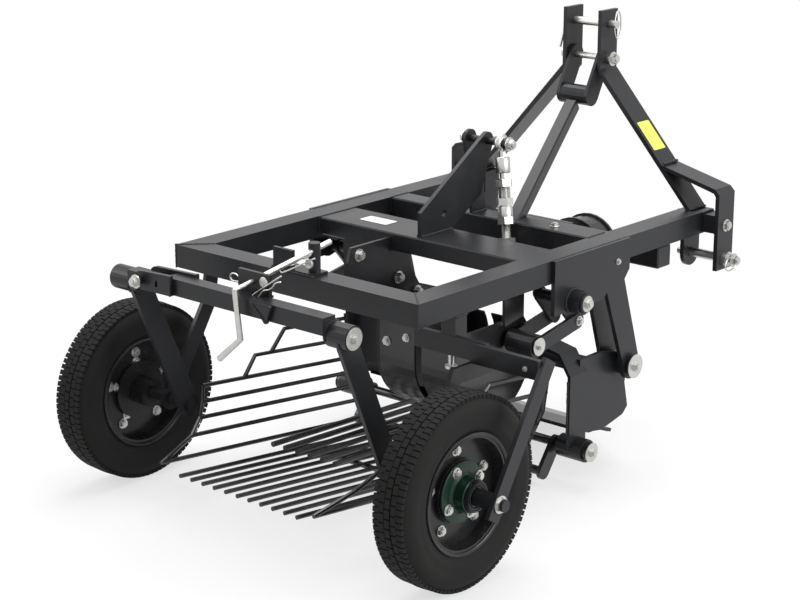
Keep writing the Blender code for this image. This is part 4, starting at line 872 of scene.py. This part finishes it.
def rounded_plate(shape, wide, high, thick, corner, matrix):
    """A thin sheet with round corners, its back on the local XY plane."""
    rim = []
    for sx, sy, start in ((1, 1, 0), (-1, 1, 90), (-1, -1, 180), (1, -1, 270)):
        for step in range(5):
            turn = radians(start + 22.5 * step)
            rim.append((sx * (wide / 2 - corner) + corner * cos(turn),
                        sy * (high / 2 - corner) + corner * sin(turn)))
    low = [shape.verts.new(matrix @ Vector((u, v, 0))) for u, v in rim]
    up = [shape.verts.new(matrix @ Vector((u, v, thick))) for u, v in rim]
    shape.faces.new(low[::-1])
    shape.faces.new(up)
    for index in range(len(rim)):
        after = (index + 1) % len(rim)
        shape.faces.new((low[index], low[after], up[after], up[index]))


class DIGGER_OT_labels(bpy.types.Operator):
    """Blank stickers on the mast and on the middle beam"""

    bl_idname = "digger.labels"
    bl_label = "Labels"

    def execute(self, context):
        lean = atan2(0.2965, 0.2637)      # the mast leg's rise over its run
        mast = Matrix.Translation(at(0.1830, 1.014, 0.6984)) @ Matrix.Rotation(lean, 4, "Y")
        beam = Matrix.Translation(at(-0.163, 0.450, 0.5432))
        for name, finish, wide, high, matrix in (("sticker_mast", "yellow", 0.078, 0.046, mast),
                                                 ("sticker_beam", "white", 0.080, 0.040, beam)):
            mesh = shape_mesh(name, lambda shape: rounded_plate(shape, wide, high, 0.0004, 0.003, matrix))
            new_piece(name, mesh, "frame", finish)
        return {"FINISHED"}


def thread_tree():
    """Thread turns as close rings, with a nut at each end, along local Z."""
    tree = Tree("turnbuckle_thread", (
        ("Material", "NodeSocketMaterial", None), ("Length", "NodeSocketFloat", 0.05),
        ("Radius", "NodeSocketFloat", 0.0098), ("Pitch", "NodeSocketFloat", 0.0022),
        ("Nut", "NodeSocketFloat", 0.0175)))
    given = tree.inputs.outputs
    count = tree.math("FLOOR", tree.math("DIVIDE", given["Length"], given["Pitch"]))
    line = tree.node("GeometryNodeMeshLine", None, {"Offset": tree.xyz(z=given["Pitch"]), "Count": count})
    turn = tree.node("GeometryNodeMeshCone", None, {
        "Vertices": 24, "Radius Top": tree.math("MULTIPLY", given["Radius"], 0.86),
        "Radius Bottom": given["Radius"], "Depth": given["Pitch"]})
    rings = tree.node("GeometryNodeInstanceOnPoints", None, {
        "Points": line.outputs[0], "Instance": turn.outputs[0]})
    nut = tree.node("GeometryNodeMeshCylinder", None, {
        "Vertices": 6, "Radius": given["Nut"], "Depth": tree.math("MULTIPLY", given["Nut"], 0.8)})
    far = tree.node("GeometryNodeTransform", None, {
        "Geometry": nut.outputs[0], "Translation": tree.xyz(z=given["Length"])})
    near = tree.node("GeometryNodeTransform", None, {"Geometry": nut.outputs[0], "Rotation": (0, 0, 0.4)})
    whole = tree.node("GeometryNodeJoinGeometry")
    for part in (rings, far, near):
        tree.tree.links.new(part.outputs[0], whole.inputs[0])
    tree.end(whole.outputs[0])
    return tree


class DIGGER_OT_turnbuckle(bpy.types.Operator):
    """Thread turns, lock nuts, sleeve and ball ends of the turnbuckle"""

    bl_idname = "digger.turnbuckle"
    bl_label = "Turnbuckle"

    def execute(self, context):
        pitch = context.scene.digger_hardware.thread_pitch
        top, foot = at(0.046, *BUCKLE_TOP), at(0.098, *BUCKLE_FOOT)
        along = (foot - top).normalized()
        length = (foot - top).length
        turned = along.to_track_quat("Z", "X").to_matrix().to_4x4()
        tree = thread_tree()
        whole = bmesh.new()
        for start, end, radius in ((0.34, 0.50, 0.0142), (0.66, 0.84, 0.0105)):
            mesh = grown(tree, bpy.data.meshes.new("seed"), {
                "Material": finish_of("zinc"), "Length": length * (end - start), "Radius": radius,
                "Pitch": pitch, "Nut": 0.0195}, "thread")
            mesh.transform(Matrix.Translation(top + along * length * start) @ turned)
            whole.from_mesh(mesh)
        sleeve = [(0.0001, 0.0), (0.0150, 0.0), (0.0165, 0.0020), (0.0165, 0.0340), (0.0150, 0.0360),
                  (0.0001, 0.0360)]
        for start in (0.12, 0.535):
            revolve(whole, sleeve, 32, Matrix.Translation(top + along * length * start) @ turned)
        ball = [(0.0001, -0.0100),
                *((0.0215 * cos(radians(turn)), 0.0110 * sin(radians(turn))) for turn in range(-65, 66, 10)),
                (0.0001, 0.0100)]
        side_on = Matrix.Rotation(pi / 2, 4, "Y")
        for place in (top, foot):
            revolve(whole, ball, 32, Matrix.Translation(place) @ side_on)
        mesh = bpy.data.meshes.new("turnbuckle_detail")
        whole.to_mesh(mesh)
        whole.free()
        smooth(mesh, 40)
        new_piece("turnbuckle_detail", mesh, "frame", "zinc")
        return {"FINISHED"}


CAMERA_PLACE = (2.7495, -3.2280, 1.6530)
CAMERA_DIP, CAMERA_TURN = 16.43, 41.39      # degrees under the horizon, and round from the rear
LAMP_AIM = Vector((0, 0, 0.35))


class DIGGER_OT_studio(bpy.types.Operator):
    """Floor, lamps, world and camera"""

    bl_idname = "digger.studio"
    bl_label = "Studio"

    def execute(self, context):
        settings = context.scene.digger_studio
        scene = context.scene
        scene.view_settings.view_transform = "Standard"
        floor_mesh = shape_mesh("floor", lambda shape: bmesh.ops.create_grid(
            shape, x_segments=1, y_segments=1, size=30))
        floor = bpy.data.objects.new("floor", floor_mesh)
        scene.collection.objects.link(floor)
        floor.location.z = -0.0005
        paint = Paint("studio_floor")
        paint.set(Base_Color=(0.80, 0.80, 0.80, 1), Roughness=0.9)
        ray = paint.tree.nodes.new("ShaderNodeLightPath")
        seen = Signal(paint, ray.outputs["Is Camera Ray"])
        glossy = Signal(paint, ray.outputs["Is Glossy Ray"])
        glow = paint.node("ShaderNodeEmission", {}, {"Color": (1, 1, 1, 1), "Strength": 1.0})
        distance = paint.node("ShaderNodeVectorMath", {"operation": "LENGTH"}, (paint.place(),), "Value")
        amount = (seen + glossy).math("MINIMUM", 1.0) * (distance.above(0.9, 2.2) * 0.35 + 0.65)
        mixed = paint.node("ShaderNodeMixShader", {}, (amount, Signal(paint, paint.shader.outputs[0]), glow))
        paint.tree.links.new(mixed.socket, paint.output.inputs[0])
        floor_mesh.materials.append(paint.material)
        world = bpy.data.worlds.new("studio_world")
        scene.world = world
        world.use_nodes = True
        nodes, links = world.node_tree.nodes, world.node_tree.links
        nodes.clear()
        out = nodes.new("ShaderNodeOutputWorld")
        path = nodes.new("ShaderNodeLightPath")
        either = nodes.new("ShaderNodeMath")
        either.operation = "MAXIMUM"
        links.new(path.outputs["Is Camera Ray"], either.inputs[0])
        links.new(path.outputs["Is Glossy Ray"], either.inputs[1])
        plain, white = nodes.new("ShaderNodeBackground"), nodes.new("ShaderNodeBackground")
        plain.inputs[0].default_value = (1, 1, 1, 1)
        plain.inputs[1].default_value = settings.sky
        white.inputs[0].default_value = (1, 1, 1, 1)
        white.inputs[1].default_value = 1.0
        blend = nodes.new("ShaderNodeMixShader")
        links.new(either.outputs[0], blend.inputs[0])
        links.new(plain.outputs[0], blend.inputs[1])
        links.new(white.outputs[0], blend.inputs[2])
        links.new(blend.outputs[0], out.inputs[0])
        for name, place, size, power in (
                ("lamp_top", (-0.3, 0.4, 3.0), 2.6, settings.top_power),
                ("lamp_side", (3.0, 0.6, 1.6), 1.8, settings.side_power),
                ("lamp_left", (-2.6, -1.6, 2.0), 1.6, settings.side_power * 0.35)):
            light = bpy.data.lights.new(name, "AREA")
            light.energy = power
            light.size = size
            lamp = bpy.data.objects.new(name, light)
            scene.collection.objects.link(lamp)
            lamp.location = place
            lamp.rotation_euler = (LAMP_AIM - Vector(place)).to_track_quat("-Z", "Y").to_euler()
        lens = bpy.data.cameras.new("camera")
        lens.lens = settings.lens
        lens.sensor_width = 36
        camera = bpy.data.objects.new("camera", lens)
        scene.collection.objects.link(camera)
        camera.location = CAMERA_PLACE
        camera.rotation_euler = (radians(90 - CAMERA_DIP), 0, radians(CAMERA_TURN))
        scene.camera = camera
        return {"FINISHED"}


class DIGGER_PT_panel(bpy.types.Panel):
    """Sizes, colours and steps of the digger's looks"""

    bl_idname = "DIGGER_PT_panel"
    bl_label = "Potato digger"
    bl_space_type = "VIEW_3D"
    bl_region_type = "UI"
    bl_category = "Digger"

    def draw(self, context):
        for group in (getattr(context.scene, key) for key, _ in SETTINGS):
            box = self.layout.box()
            for key in group.__annotations__:
                box.prop(group, key)
        for step in STEPS:
            self.layout.operator(step.bl_idname)


SETTINGS = (("digger_finish", FinishSettings), ("digger_tyre", TyreSettings),
            ("digger_hardware", HardwareSettings), ("digger_studio", StudioSettings))
STEPS = (DIGGER_OT_studio, DIGGER_OT_finishes, DIGGER_OT_tyres, DIGGER_OT_hubs, DIGGER_OT_fasteners,
         DIGGER_OT_clips, DIGGER_OT_welds, DIGGER_OT_labels, DIGGER_OT_turnbuckle)


def register():
    for group in (*(kind for _, kind in SETTINGS), *STEPS, DIGGER_PT_panel):
        bpy.utils.register_class(group)
    for key, kind in SETTINGS:
        setattr(bpy.types.Scene, key, PointerProperty(type=kind))


def unregister():
    for key, _ in SETTINGS:
        delattr(bpy.types.Scene, key)
    for group in (DIGGER_PT_panel, *reversed(STEPS), *(kind for _, kind in reversed(SETTINGS))):
        bpy.utils.unregister_class(group)


def main():
    register()
    for step in STEPS:
        area, word = step.bl_idname.split(".")
        getattr(getattr(bpy.ops, area), word)()


if __name__ == "__main__":
    main()
